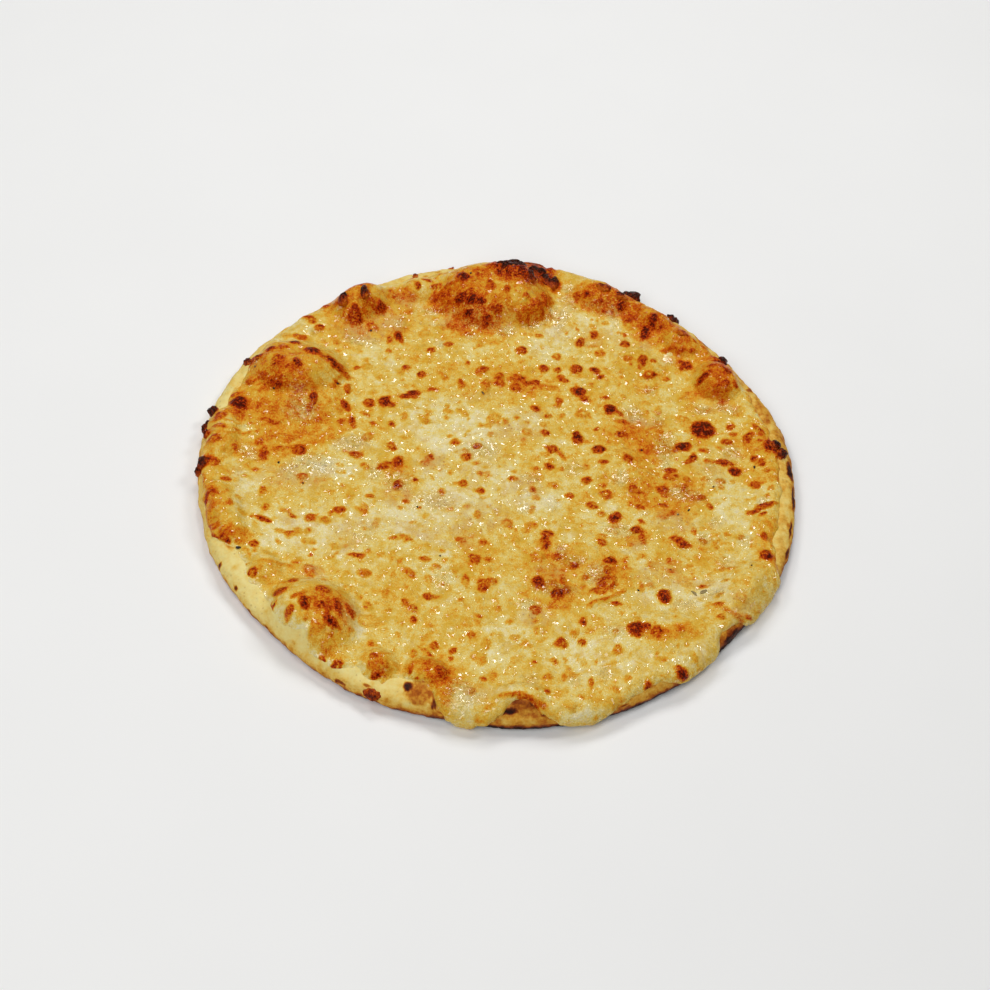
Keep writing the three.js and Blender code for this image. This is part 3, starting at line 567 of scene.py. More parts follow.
# Wet places: x, y, length, width, turn, strength
WET_PATCHES = (
    (12, 105, 14, 5, 35, 100), (20, 114, 5, 14, -25, 100), (26, 112, 8, 20, -20, 90),
    (-3, 98, 13, 7, 15, 100), (30, 124, 8, 18, 20, 60), (-22, 92, 8, 5, 70), (54, 117, 6, 14, 20, 60),
    (-43, 108, 18, 5, 80), (-60, 96, 6, 16, 70), (-80, 80, 22, 6, 100), (-38, 84, 5, 8, 80),
    (-104, 32, 14, 20, 30, 60), (-92, -8, 22, 14, 100), (-103, -14, 10, 12, 60), (-76, 8, 20, 10, 20, 80),
    (-62, -10, 8, 14, 80), (-50, -14, 16, 14, 60), (-10, 12, 18, 12, 80), (16, -4, 10, 8, 60),
    (14, -24, 8, 5, 60), (28, -20, 10, 10, 40), (52, -62, 12, 14, 100), (40, -54, 12, 6, 90),
    (34, -48, 6, 8, 80), (32, -72, 22, 8, 100), (20, -83, 10, 6, 100), (62, -93, 12, 8, 70),
    (62, -32, 16, 10, 80), (74, -20, 6, 4, 70), (66, 47, 12, 12, 80), (80, 44, 6, 12, 70),
    (84, 88, 10, 8, 70), (75, 64, 8, 6, 60), (84, 26, 12, 24, 80), (84, 14, 6, 10, 80),
    (116, 57, 14, 7, -25, 80), (104, 54.5, 12, 8, 80), (62, 3, 8, 10, 80), (92, -4, 16, 10, 90),
    (100, -6, 10, 8, 70), (118, 26, 12, 12, 70), (110, 6, 12, 10, 50), (110, -22, 8, 8, 80),
    (124, -31, 8, 8, 80), (116, -46, 10, 10, 70), (110, -65, 10, 6, 80), (95, -74, 14, 8, 20, 80),
    (44, -124, 6, 8, 70), (58, -118, 8, 10, 70), (24, -126, 8, 8, 50), (-8, -136, 14, 16, 30, 80),
    (-30, -25, 24, 14, 60), (-22, -72, 10, 20, 50), (-62, -52, 12, 10, 50), (134, -4, 8, 6, 80),
    (-106, 84, 6, 4, 70), (-126, -5, 16, 8, -30, 60), (28, 136, 8, 6, 70), (6, 138, 8, 8, 40),
    (38, 5, 12, 10, 50), (104, -32, 8, 8, 80),
)

# Folds in the skin of the cheese: width, height, browning, then the places they run through
FOLDS = (
    (3.4, 1.0, 0.5, (-130, 67), (-120, 72), (-108, 72), (-98, 69), (-88, 60)),
    (2.4, 0.8, 0.52, (-136, 58), (-130, 62), (-122, 64)),
    (2.6, 0.9, 0.34, (-110, -77), (-100, -73), (-82, -74)),
    (2.4, 0.9, 0.6, (50, -80), (58, -75), (66, -70)),
    (2.0, 0.7, 0.6, (-45, 133), (-41, 139), (-34, 146)),
    (2.6, 0.8, 0.5, (112, 88), (120, 80), (124, 68)),
    (2.0, 0.6, 0.42, (132, -18), (135, -28), (140, -38)),
    (2.4, 0.7, 0.55, (110, -71), (118, -77), (126, -78)),
    (2.2, 0.6, 0.55, (-32, -132), (-25, -132), (-17, -128)),
    (2.2, 0.6, 0.62, (8, -138), (20, -134), (32, -140)),
    (2.0, 0.5, 0.5, (-90, 46), (-84, 58), (-88, 62)),
    (2.0, 0.5, 0.5, (-98, 24), (-92, 19), (-84, 20)),
    (2.0, 0.5, 0.45, (98, 74), (106, 82), (114, 84)),
    (1.8, 0.5, 0.5, (60, 72), (66, 66), (78, 66)),
    (2.0, 0.6, 0.5, (-150, 8), (-138, 14), (-126, 14), (-112, 18)),
    (2.0, 0.6, 0.5, (-150, 2), (-142, 6), (-130, 6), (-118, 12)),
    (1.8, 0.5, 0.5, (-146, -22), (-141, -36), (-138, -50)),
    (1.8, 0.5, 0.45, (40, 132), (52, 134), (58, 138)),
)

# Charred blisters that stand proud of the rim: x, y, length, width, turn, height
RIM_CHAR = (
    (-7, 148.5, 8.5, 7.5, 20, 7), (-2, 150, 8.5, 6, -10, 6.5), (0.5, 147, 8, 8, -30, 7),
    (4, 144, 8, 7, -40, 7), (7, 141, 5.5, 5, -30, 5), (9, 152, 10, 3, -12, 3), (10.5, 146, 9, 7, -40, 6.5),
    (14.5, 141.5, 7.5, 8, -30, 7), (19.5, 139, 6, 9, 15, 6), (-15.5, 151, 4, 3.4, 0, 3),
    (-88, 117, 8.6, 6.4, 35, 7), (-82, 117, 3.8, 7.8, 10, 6), (-93, 111, 4.3, 7, 0, 6),
    (-56, 134, 2.4, 3, 0, 3), (64, 134, 9.2, 7, -35, 7), (48, 140, 7.3, 4, -25, 4),
    (58, 134, 5.6, 4, -40, 3.5), (87, 120, 5.5, 5.5, -35, 6), (92, 110, 5, 3, -35, 3),
    (113.5, 90.5, 5, 6, -40, 6), (116, 85, 5, 2.6, -40, 2.5), (140, 34, 5.2, 6, -45, 5),
    (144, 28, 4.8, 6.4, -20, 5), (-147.5, 19.5, 5.2, 4.6, 30, 6), (-149.5, 9, 3.4, 5.5, -15, 5),
    (-149, 4, 2.6, 4, 10, 4), (-147, -14.5, 4.4, 6, -20, 5), (-147.6, -20.5, 4.2, 7, -5, 5.5),
    (-136, 56, 4.2, 5.4, 30, 5), (-131, 61, 3.7, 2.2, 20, 2.5), (-145, -39, 1.4, 2, 0, 2),
    (-47, -142, 6, 4.4, -20, 4), (-38, 143, 4, 1.6, 50, 1.5),
)

# Burnt crumbs and grey herb flecks: x, y, length, width, turn, darkness
CRUMBS = (
    (-121, -66, 3.2, 1.8, 20, 100), (-88, 47.5, 1.8, 1.6, 100), (-120, 40, 1.6, 1.6, 100),
    (-75.5, 88.5, 2, 1.6, 100), (-110, -10, 1.4, 1.4, 100), (130, 18, 1.2, 2.2, 100),
    (96.5, -15, 1.2, 2, -30, 100), (72.5, -68, 1.6, 1, -20, 90), (127.5, -46, 1, 0.9, 90),
    (-19, -125, 2.6, 2.6, 20, 45), (-19, 113, 2.4, 2, 50), (-12, 51, 3, 1.2, -50, 50),
    (91, -18, 1.8, 2.2, 40), (104, -65, 4.4, 2.4, 30, 20), (99.5, -66.5, 4, 1.6, -45, 22),
    (-132, 54, 2, 1.6, 50), (-38, -30, 1.2, 1.2, 90), (-96, -22, 1.2, 1, 90), (72, 22, 1.3, 1.2, 90),
    (88, -54, 1.6, 1.2, 85), (-26, 141, 1.4, 1.2, 90), (30, 17, 1, 0.8, 80), (-24, -59, 1.2, 0.9, 60),
    (109, 2, 1.4, 1.2, 50),
)

# Blisters whose middle has stayed lighter than their ring: x, y
RINGED = (
    (-70, 36), (-45, 60), (54, -41), (7, -34.5), (41, 43), (25, 83), (-55, 8), (-144, 17), (-28, -74),
    (-47, -142), (-45, -50), (93, 46), (-99.5, -98), (-112, -80), (-71, -103), (78, -52), (75, 76),
    (55, -10), (64, -104), (-92, -102), (98, 19), (-25, -125), (-4, 60), (95, 85),
)

# How the bare dough is baked round the rim: angle in degrees, then browning of its top, its side and its
# foot. The side's browning is partly painted shade, as the side faces down and away from the light.
DOUGH_BAKE_AND_SIDE_SHADE = (
    (0, 0.34, 0.5, 0.96), (15, 0.44, 0.6, 0.98), (30, 0.4, 0.5, 0.85), (50, 0.36, 0.42, 0.7),
    (75, 0.3, 0.4, 0.6), (95, 0.4, 0.5, 0.7), (110, 0.2, 0.3, 0.55), (135, 0.3, 0.4, 0.6),
    (150, 0.26, 0.35, 0.5), (165, 0.12, 0.2, 0.4), (185, 0.3, 0.4, 0.6), (203, 0.2, 0.3, 0.64),
    (212, 0.06, 0.22, 0.7), (235, 0.04, 0.3, 0.8), (250, 0.1, 0.38, 0.84), (260, 0.24, 0.4, 0.8),
    (266, 0.4, 0.54, 1.1), (274, 0.52, 0.48, 1.4), (280, 0.56, 0.48, 1.4), (288, 0.44, 0.54, 1.4),
    (300, 0.34, 0.52, 1.3), (310, 0.4, 0.62, 1.4), (318, 0.44, 0.72, 1.4), (323, 0.48, 0.86, 1.4),
    (328, 0.44, 0.72, 1.3), (336, 0.4, 0.6, 1.1), (348, 0.32, 0.46, 0.97),
)

# Toasted spots of the bare dough: angle in degrees, inset, width along the rim, width across it, browning
DOUGH_SPOTS = (
    (259.5, 7.5, 17, 15, 0.6), (208, 9, 10, 5, 0.5), (276, 4.6, 9, 3.6, 0.92), (280.6, 6.4, 8, 3, 0.8),
    (278, 7.4, 19, 6, 0.68), (211, 0.5, 3, 5, 0.95), (217, 0.8, 3, 3, 0.9), (222, -0.2, 3, 2, 0.9),
    (245, 0.2, 7, 3, 0.8), (257, 9, 6, 6, 0.94), (262.5, 3.6, 4, 6, 0.86), (20, 6.5, 7, 6, 0.6),
    (29, 3.6, 4, 5, 0.75), (15, 5.7, 4, 4, 0.56), (6.5, 2.2, 16, 5, 0.98), (25, 5, 5, 4, 0.52),
    (22, 7.3, 4, 4, 0.56), (0, 1.2, 18, 3.4, 0.95), (352, 1.6, 14, 3, 0.9), (346, 1, 12, 3, 0.85),
    (324, 0.6, 8, 6, 0.95), (321.6, 0.6, 6, 4, 0.98), (266, 6, 6, 4, 0.5), (250, 3, 5, 2, 0.6),
    (318, -1, 8, 3, 0.9),
)

FRONT_LESS_BAKED = 0.036  # how much less the front half's blisters are browned than listed
FRONT_START, FRONT_DEPTH = 20.0, 40.0  # where that begins behind the middle, and over which depth it grows
STRETCH = (0.6, 2.0)  # the least and the most that a slope changes a size along the line of sight


def unrolled_marks(marks):
    """The listed ovals with their places and sizes on the unrolled top: on slopes, sizes along the line of
    sight grow or shrink as much as a millimetre does there."""
    places = np.array([mark[:2] for mark in marks], float)
    flat = unroll_seen(places)
    apart = unroll_seen(places + (0, 1)) - unroll_seen(places - (0, 1))
    stretch = np.clip(np.hypot(*apart.T) / 2, *STRETCH)
    for (x, y), (_, _, length, width, turn, value), deep in zip(flat, marks, stretch):
        c, s = cos_sin(turn)
        yield x, y, length * math.hypot(c, s * deep), width * math.hypot(s, c * deep), turn, value


def fall(distance, start, end):
    """Smooth drop from 1 at the start to 0 at the end."""
    return 1 - ease((distance - start) / (end - start))


def line_distance(x, y, a, b):
    """Distance from the stretch between two places."""
    along_x, along_y = b[0] - a[0], b[1] - a[1]
    share = ((x - a[0]) * along_x + (y - a[1]) * along_y) / (along_x**2 + along_y**2)
    share = np.clip(share, 0, 1)
    return np.hypot(x - a[0] - share * along_x, y - a[1] - share * along_y)


# ---- the unrolled top as square arrays

MAP_HALF = 166.0  # the unrolled top reaches a little less far than this
MAP_CELL = 0.4
PLAIN_BROWNING = 0.3  # browning of the top before any mark is made

# Noise in layers: size in millimetres, height, seed
SWELLS = ((22, 0.35, 41), (9, 0.3, 42), (4.4, 0.24, 43), (2.4, 0.12, 44))
UNEVEN_BAKE = ((30, 0.05, 51), (13, 0.09, 52), (5.5, 0.085, 53), (2.6, 0.055, 54))
WANDER_X = ((5.5, 0.75, 11), (2.3, 0.4, 12))
WANDER_Y = ((5.5, 0.75, 21), (2.3, 0.4, 22))

SHREDS = 1500  # half-melted shreds, at even random
SHRED_LENGTHS, SHRED_WIDTHS, SHRED_RISES = (6, 15), (1.5, 2.8), (0.5, 1.2)
SHRED_BROWNING = 0.06  # how much the shreds' browning differs
SMALL_SPOTS = 1100  # golden spots that are too small to be placed one by one
SMALL_SPOTS_RADIUS = 156
SMALL_SPOT_BROWNING = (0.42, 0.64)
SMALL_SPOT_HEIGHT = 0.6  # as a share of a blister's
AREA_REACH, PATCH_REACH = 1.2, 1.3  # how much further than listed the soft edges of areas and patches reach
BLISTER_LENGTH, BLISTER_WIDTH = 1.04, 1.12  # how much larger than listed blisters are drawn
# Scorched cheese round each of the rim's lumps: length and width as shares of the lump's, browning, height
SCORCHED = ((1.8, 1.7, 0.76, 0.2), (1.35, 1.4, 0.93, 0.3))
HALO_LEAST, HALO_SHARE = 0.24, 0.34  # browning of a blister's halo, and more for each share of its own
CORE_MOTTLE, CORE_BLOTCHES = 0.26, 0.08  # how uneven a blister's browning is, finely and coarsely
BLISTER_REACH, BLISTER_FULLNESS = 1.2, 2.6  # its dome, out to this many times its edge
HEIGHT_POWER = 0.8  # wide blisters stand up less steeply
CRUMPLE = 0.8  # depth of the creases in the darkest
RING_MIDDLE, RING_FADE, RING_DENT = 3.0, 0.2, 0.3  # a ring's middle: width, less browning, dent


def layered(x, y, layers):
    """Noise at several sizes, added up."""
    return sum(height * noise(x, y, size, seed) for size, height, seed in layers)


class TopMap:
    """The unrolled top as square arrays: relief in millimetres, and browning (partly painted shade on the
    bubbles' slopes), sauce and wetness from 0 to 1."""

    def __init__(self, blister_height, shred_height):
        axis = np.arange(-MAP_HALF, MAP_HALF + MAP_CELL / 2, MAP_CELL)
        self.x, self.y = np.meshgrid(axis, axis, indexing="ij")
        # Marks are placed on a slightly wandering sheet, so that their outlines are uneven
        self.wandered_x = self.x + layered(self.x, self.y, WANDER_X)
        self.wandered_y = self.y + layered(self.x, self.y, WANDER_Y)
        self.mottle = noise(self.x, self.y, 1.7, 31)
        self.blotches = noise(self.x, self.y, 5.0, 32)
        self.relief = layered(self.x, self.y, SWELLS)
        self.toast_and_shade = np.full_like(self.x, PLAIN_BROWNING)
        self.sauce = np.zeros_like(self.x)
        self.wet = np.zeros_like(self.x)
        self.add_areas()
        self.toast_and_shade += layered(self.x, self.y, UNEVEN_BAKE)
        self.add_shreds(shred_height)
        self.add_patches(self.sauce, SAUCE_PATCHES)
        self.add_patches(self.wet, WET_PATCHES)
        self.add_folds()
        self.add_small_spots(blister_height)
        self.add_blisters(blister_height)

    def near(self, x, y, reach):
        """The part of the arrays that lies within reach of a place."""
        first = [max(int((place - reach + MAP_HALF) / MAP_CELL), 0) for place in (x, y)]
        last = [int((place + reach + MAP_HALF) / MAP_CELL) + 2 for place in (x, y)]
        return np.s_[first[0] : last[0], first[1] : last[1]]

    def distances(self, x, y, length, width, turn, margin):
        """The arrays' part round an oval, and there the distance in half-widths of the oval and beyond its
        edge."""
        part = self.near(x, y, length / 2 + margin)
        away = oval(self.wandered_x[part], self.wandered_y[part], x, y, length / 2, width / 2, turn)
        return part, away, (away - 1) * min(length, width) / 2

    def soft_marks(self, listed, count, reach, start):
        """For each listed oval its part of the arrays, how much of it shows there, full up to a share of the
        way out and falling to nothing at the edge, and its values, of which there are so many."""
        flat = unroll_seen([mark[:2] for mark in listed])
        for (x, y), (_, _, length, width, turn, *values) in zip(flat, ovals(listed, count)):
            part, away, _ = self.distances(x, y, length * reach, width * reach, turn, 3)
            yield part, fall(away, start, 1.0), values

    def add_areas(self):
        """Brings the browning of the listed areas nearer to each area's own. On the bubbles' fronts and
        hollows that browning is partly painted shade.
        """
        for part, shown, (browning, strength) in self.soft_marks(BAKED_AND_SHADED_AREAS, 2, AREA_REACH, 0.4):
            self.toast_and_shade[part] += (browning - self.toast_and_shade[part]) * strength * shown

    def add_patches(self, field, patches):
        """Raises a field to the strength of the listed patches."""
        for part, shown, (strength,) in self.soft_marks(patches, 1, PATCH_REACH, 0.3):
            field[part] = np.maximum(field[part], strength * shown)

    def add_shreds(self, shred_height):
        """Half-melted shreds: long low domes at even random over the top."""
        rng = np.random.default_rng(61)
        for _ in range(SHREDS):
            x, y = rng.uniform(-MAP_HALF, MAP_HALF, 2)
            length, width = rng.uniform(*SHRED_LENGTHS), rng.uniform(*SHRED_WIDTHS)
            part, away, _ = self.distances(x, y, length, width, rng.uniform(0, 180), 1)
            self.relief[part] += shred_height * rng.uniform(*SHRED_RISES) * dome(away, 2)
            self.toast_and_shade[part] += rng.normal(0, SHRED_BROWNING) * dome(away, 2)

    def add_folds(self):
        """Folds: a dome's section carried along each stretch of the listed lines, unevenly browned on
        top."""
        for width, height, browning, *places in FOLDS:
            flat = unroll_seen(places)
            for a, b in zip(flat[:-1], flat[1:]):
                middle, reach = (a + b) / 2, np.hypot(*(b - a)) / 2 + 2 * width
                part = self.near(*middle, reach)
                away = line_distance(self.wandered_x[part], self.wandered_y[part], a, b) / width
                self.relief[part] = np.maximum(self.relief[part], height * dome(away, 2))
                baked = browning + 0.16 * self.mottle[part] + 0.2 * self.blotches[part]
                self.toast_and_shade[part] = np.maximum(self.toast_and_shade[part], baked * fall(away, 0.2, 0.9))

    def add_small_spots(self, blister_height):
        """Golden spots at even random over the disc, few of them large."""
        rng = np.random.default_rng(71)
        for _ in range(SMALL_SPOTS):
            away, angle = SMALL_SPOTS_RADIUS * math.sqrt(rng.uniform()), rng.uniform(0, FULL_TURN)
            x, y = away * math.cos(angle), away * math.sin(angle)
            length = 0.9 + 2.8 * rng.uniform() ** 2.4
            width, turn = length * rng.uniform(0.5, 1), rng.uniform(0, 180)
            browning = rng.uniform(*SMALL_SPOT_BROWNING)
            self.add_blister(x, y, length, width, turn, browning, SMALL_SPOT_HEIGHT * blister_height)

    def add_blisters(self, blister_height):
        """The listed blisters, the scorched cheese round the rim's lumps, and the lighter middles of
        rings."""
        for x, y, length, width, turn, browning in unrolled_marks(ovals(BLISTERS)):
            browning -= FRONT_LESS_BAKED * ease((FRONT_START - y) / FRONT_DEPTH)
            size = BLISTER_LENGTH * length, BLISTER_WIDTH * width
            self.add_blister(x, y, *size, turn, browning, blister_height)
        for x, y, length, width, turn, _ in unrolled_marks(RIM_CHAR):
            for longer, wider, browning, height in SCORCHED:
                size = length * longer, width * wider
                self.add_blister(x, y, *size, turn, browning, height * blister_height)
        for x, y in unroll_seen(RINGED):
            self.lighten_middle(x, y)

    def add_blister(self, x, y, length, width, turn, browning, height):
        """One blister: a low dome, browned in the middle, with a golden halo round it. The darkest are
        crumpled."""
        part, away, beyond = self.distances(x, y, length, width, turn, 5)
        size = min(length, width)
        core, halo = fall(beyond, -0.12 * size - 0.4, 0.6), fall(beyond, -0.5, 0.8 + 0.25 * size)
        golden = HALO_LEAST + HALO_SHARE * browning
        # The darkest grow darker still towards the middle, the others a little lighter
        darkest = ease((browning - 0.9) / 0.09)
        burnt = 0.91 * browning + (0.08 * darkest - 0.06 * (1 - darkest)) * ease(-beyond / (0.35 * size))
        mottled = burnt - CORE_MOTTLE * self.mottle[part] * browning**2 - CORE_BLOTCHES * self.blotches[part]
        mottled = golden + (mottled - golden) * core
        self.toast_and_shade[part] = np.maximum(self.toast_and_shade[part], golden * halo)
        self.toast_and_shade[part] = np.where(core > 0.02, np.maximum(self.toast_and_shade[part], mottled), self.toast_and_shade[part])
        rise = height * size**HEIGHT_POWER
        crumple = CRUMPLE * height * self.mottle[part] * core * ease((browning - 0.7) / 0.3)
        self.relief[part] += rise * dome(away / BLISTER_REACH, BLISTER_FULLNESS) + crumple

    def lighten_middle(self, x, y):
        """A small dent, less browned than what lies round it."""
        part, away, _ = self.distances(x, y, RING_MIDDLE, RING_MIDDLE, 0, 1)
        self.toast_and_shade[part] -= RING_FADE * dome(away, 2)
        self.relief[part] -= RING_DENT * dome(away, 2)

    def read(self, field, angle, path):
        """The field's values at places on the unrolled top, each weighed from the four cells round it."""
        u, v = ((place + MAP_HALF) / MAP_CELL for place in flat_place(angle, path))
        i = np.clip(np.floor(u).astype(int), 0, field.shape[0] - 2)
        j = np.clip(np.floor(v).astype(int), 0, field.shape[1] - 2)
        u, v = u - i, v - j
        left = field[i, j] * (1 - v) + field[i, j + 1] * v
        right = field[i + 1, j] * (1 - v) + field[i + 1, j + 1] * v
        return left * (1 - u) + right * u


# ---- making of meshes


def add_object(name, data):
    """An object with this mesh, camera or light, put into the scene."""
    made = bpy.data.objects.new(name, data)
    bpy.context.scene.collection.objects.link(made)
    return made


def make_piece(name, points, faces, material, attributes=(), bake_places=None):
    """A smooth mesh at the origin, from points in millimetres and a list of arrays of triangles or quads."""
    mesh = bpy.data.meshes.new(name)
    mesh.vertices.add(len(points))
    placed = (points + (SHIFT_X, SHIFT_Y, 0)) * MM
    mesh.vertices.foreach_set("co", placed.astype(np.float32).ravel())
    corners = np.concatenate([block.ravel() for block in faces])
    counts = np.concatenate([np.full(len(block), block.shape[1]) for block in faces])
    mesh.loops.add(len(corners))
    mesh.loops.foreach_set("vertex_index", corners.astype(np.int32))
    mesh.polygons.add(len(counts))
    mesh.polygons.foreach_set("loop_start", (np.cumsum(counts) - counts).astype(np.int32))
    mesh.update(calc_edges=True)
    mesh.shade_smooth()
    for title, values in dict(attributes).items():
        mesh.attributes.new(title, "FLOAT", "POINT").data.foreach_set("value", values.astype(np.float32))
    if bake_places is not None:
        layer = mesh.uv_layers.new(name="OFBake")
        layer.data.foreach_set("uv", bake_places[corners].astype(np.float32).ravel())
    mesh.materials.append(material)
    return add_object(name, mesh)


def band(first, count, rings):
    """Quads between rings of as many points, each ring starting where the last one ended."""
    ring, place = np.meshgrid(np.arange(rings - 1), np.arange(count), indexing="ij")
    here, there = first + ring * count + place, first + ring * count + (place + 1) % count
    return np.stack([here, here + count, there + count, there], -1).reshape(-1, 4)


def fan(middle, ring):
    """Triangles from a middle point to each two neighbours of a ring."""
    return np.stack([np.full(len(ring), middle), ring, np.roll(ring, -1)], -1)


def map_disc(middle, radius, turns):
    """Places on a bake map: a disc round a middle that lies as far along both sides of the map."""
    radius = radius * np.ones_like(turns)
    return np.stack([middle + radius * np.cos(turns), middle + radius * np.sin(turns)], -1).reshape(-1, 2)


# ---- making the dough

DOUGH_COLUMNS = 840
UNDER_SHARES = np.array([0.15, 0.35, 0.55, 0.72, 0.84, 0.91, 0.95, 0.975])  # rings under the cheese
RIM_SHARES = np.linspace(0, 1, 54)  # rings from there over the rim and down to the foot
BASE_SHARES = 1 - np.linspace(0, 1, 48)[1:-1] ** 1.2  # rings of the base, from the foot inwards
UNDER_EDGE = 5.0  # how far inside the cheese's edge the rim's first ring lies
DOUGH_MARKS = 170  # small toasted spots round the rim, at even random
DOUGH_SWELLS = ((11, 0.5, 91), (4.5, 0.35, 92), (2, 0.2, 93))
DOUGH_MOTTLE = ((7, 0.1, 95), (3, 0.1, 96))
BASE_UNEVENNESS = 0.35  # the most that the base rises off the ground
MIDDLE_TONES = (0.2, 0.5)  # browning at the middle of the top and of the base
DOUGH_DISC = 0.285  # radius of the dough's two discs on its bake map
TOP_MIDDLE, BASE_MIDDLE = 0.295, 0.705  # their middles


def dough_tone(angle, path):
    """Browning of the dough's top, side and foot, the side's partly painted shade: the listed values eased
    round the rim and down the side."""
    top, side, foot = listed_at(angle, DOUGH_BAKE_AND_SIDE_SHADE, 1, 2, 3)
    past = path - outline(angle) + CREST_INSET
    tone = top + (side - top) * ease(past / SHOULDER_LENGTH)
    return tone + (foot - tone) * ease((past - SHOULDER_LENGTH * 0.75) / (FOOT_LENGTH * 1.1))


def round_rim(angle, at):
    """Length along the rim from a place at this angle, by the shorter way round."""
    return CRUST_RADIUS * (np.mod(angle - at + math.pi, FULL_TURN) - math.pi)


def dough_marks(angle, path):
    """Toasted spots of the bare dough: rounded spots at even random along the rim, strongest in the
    middle."""
    rng = np.random.default_rng(81)
    tone, rise = np.zeros_like(angle), np.zeros_like(angle)
    for _ in range(DOUGH_MARKS):
        at, inset = rng.uniform(0, FULL_TURN), rng.uniform(-4, 12)
        long, wide = rng.uniform(1.2, 5.5), rng.uniform(0.8, 2.6)
        at_path = CRUST_RADIUS - CREST_INSET + SHOULDER_LENGTH - inset
        away = np.hypot(round_rim(angle, at) / long, (path - at_path) / wide)
        tone = np.maximum(tone, rng.uniform(0.4, 0.9) * fall(away, 0.2, 1.2))
        rise = np.maximum(rise, 0.35 * dome(away / 1.2, 2))
    return tone, rise


def dough_spots(angle, path):
    """Browning of the listed spots: uneven ovals with soft edges."""
    tone = np.zeros_like(angle)
    uneven = 0.25 * noise(*flat_place(angle, path), 2.6, 83)
    for at, inset, long, wide, browning in DOUGH_SPOTS:
        at = math.radians(at)
        across = path - inset_to_path(np.full(1, at), inset)
        away = np.hypot(round_rim(angle, at) / (long / 2), across / (wide / 2))
        tone = np.maximum(tone, browning * fall(away + uneven, 0.5, 1.35))
    return tone


def side_toast_and_shade(angle, paths, marks):
    """Browning of the dough's top and side, the side's partly painted shade: its baked tone, mottled, or
    that of a spot where it is darker."""
    baked = dough_tone(angle, paths)
    mottled = layered(*flat_place(angle, paths), DOUGH_MOTTLE)
    tone = np.maximum(baked + mottled, marks * (0.4 + baked))
    return np.maximum(tone, dough_spots(angle, paths))


def base_toast(base):
    """Browning of the base: darkest at the foot, with dark blotches where it touched the oven floor."""
    x, y = base[..., 0], base[..., 1]
    blotches = ease(1.6 * noise(x, y, 13, 97) - 0.15) * 0.35 + 0.16 * noise(x, y, 5, 98)
    return 0.52 + blotches + 0.3 * ease((BASE_SHARES - 0.9) / 0.1)[:, None]


def dough_base(foot_ring):
    """The base: the foot's ring drawn in step by step, and lifted by the size of noise but for its
    border."""
    base = foot_ring * BASE_SHARES[:, None, None]
    lifted = BASE_UNEVENNESS * np.abs(noise(base[..., 0], base[..., 1], 9, 94))
    base[..., 2] = lifted * ease((1 - BASE_SHARES) / 0.04)[:, None]
    return base


def dough_map(turns, paths, foot, edge):
    """Places on the bake map: the top on one disc, half of its radius for what the cheese hides, and the
    base on another."""
    inner = np.minimum(paths / edge, 1) * 0.5
    rim = np.clip((paths - edge) / (foot - edge), 0, 1) * 0.5
    top = map_disc(TOP_MIDDLE, (inner + rim) * DOUGH_DISC, turns)
    base = map_disc(BASE_MIDDLE, (BASE_SHARES * DOUGH_DISC)[:, None], turns)
    return np.concatenate([top, base, [[TOP_MIDDLE, TOP_MIDDLE], [BASE_MIDDLE, BASE_MIDDLE]]])


def make_crust(settings):
    """The dough: its top under the cheese, the bare rim, the side and the browned base, as rings of
    points."""
    turns = np.linspace(0, FULL_TURN, DOUGH_COLUMNS, endpoint=False)
    edge, foot = cheese_edge(turns) - UNDER_EDGE, foot_path(turns)
    paths = np.concatenate([UNDER_SHARES[:, None] * edge, edge + RIM_SHARES[:, None] * (foot - edge)])
    angle = np.broadcast_to(turns, paths.shape)
    marks, rise = dough_marks(angle, paths)
    bare = ease((paths - cheese_edge(angle) + 3) / 2) * ease((foot - paths) / 3)
    swell = layered(*flat_place(angle, paths), DOUGH_SWELLS)
    top = surface(angle, paths, bare * (settings.unevenness * swell + rise))
    base = dough_base(top[-1])
    middle_top, middle_base = surface(np.zeros(1), np.zeros(1), np.zeros(1)), np.zeros((1, 3))
    points = np.concatenate([top.reshape(-1, 3), base.reshape(-1, 3), middle_top, middle_base])
    points[:, 2] = np.maximum(points[:, 2], 0)

    rings = len(paths) + len(base)
    first, last = np.arange(DOUGH_COLUMNS), (rings - 1) * DOUGH_COLUMNS + np.arange(DOUGH_COLUMNS)
    middle = rings * DOUGH_COLUMNS
    faces = [band(0, DOUGH_COLUMNS, rings), fan(middle, first), fan(middle + 1, last[::-1])]
    tones = [side_toast_and_shade(angle, paths, marks).ravel(), base_toast(base).ravel(), MIDDLE_TONES]
    # The browning attribute: on the side, part of it is painted shade
    attributes = {"toast_and_shade": np.concatenate(tones)}
    places = dough_map(turns, paths, foot, edge)
    return make_piece("baked_crust", points, faces, dough_material(settings), attributes, places)


# ---- making the cheese

CHEESE_POINTS = 298  # along each side of the square grid that is bent into the disc
UNDERSIDE_SHARES = np.array([0.985, 0.94, 0.8, 0.6, 0.4, 0.2])  # rings of the underside, inwards
CROWDING = 0.06  # how much closer together the grid's points lie towards the edge
EDGE_EASE = 2.5  # over which length at the edge the relief grows
FILM_TONE = 0.15  # browning of a film of cheese on pale dough
UNDERSIDE_TONE = 0.2
MAP_REACH = 0.494  # half the width of the cheese's top on its bake map
UNDERSIDE_MIDDLE, UNDERSIDE_RADIUS = 0.065, 0.06  # the small disc that its underside takes there


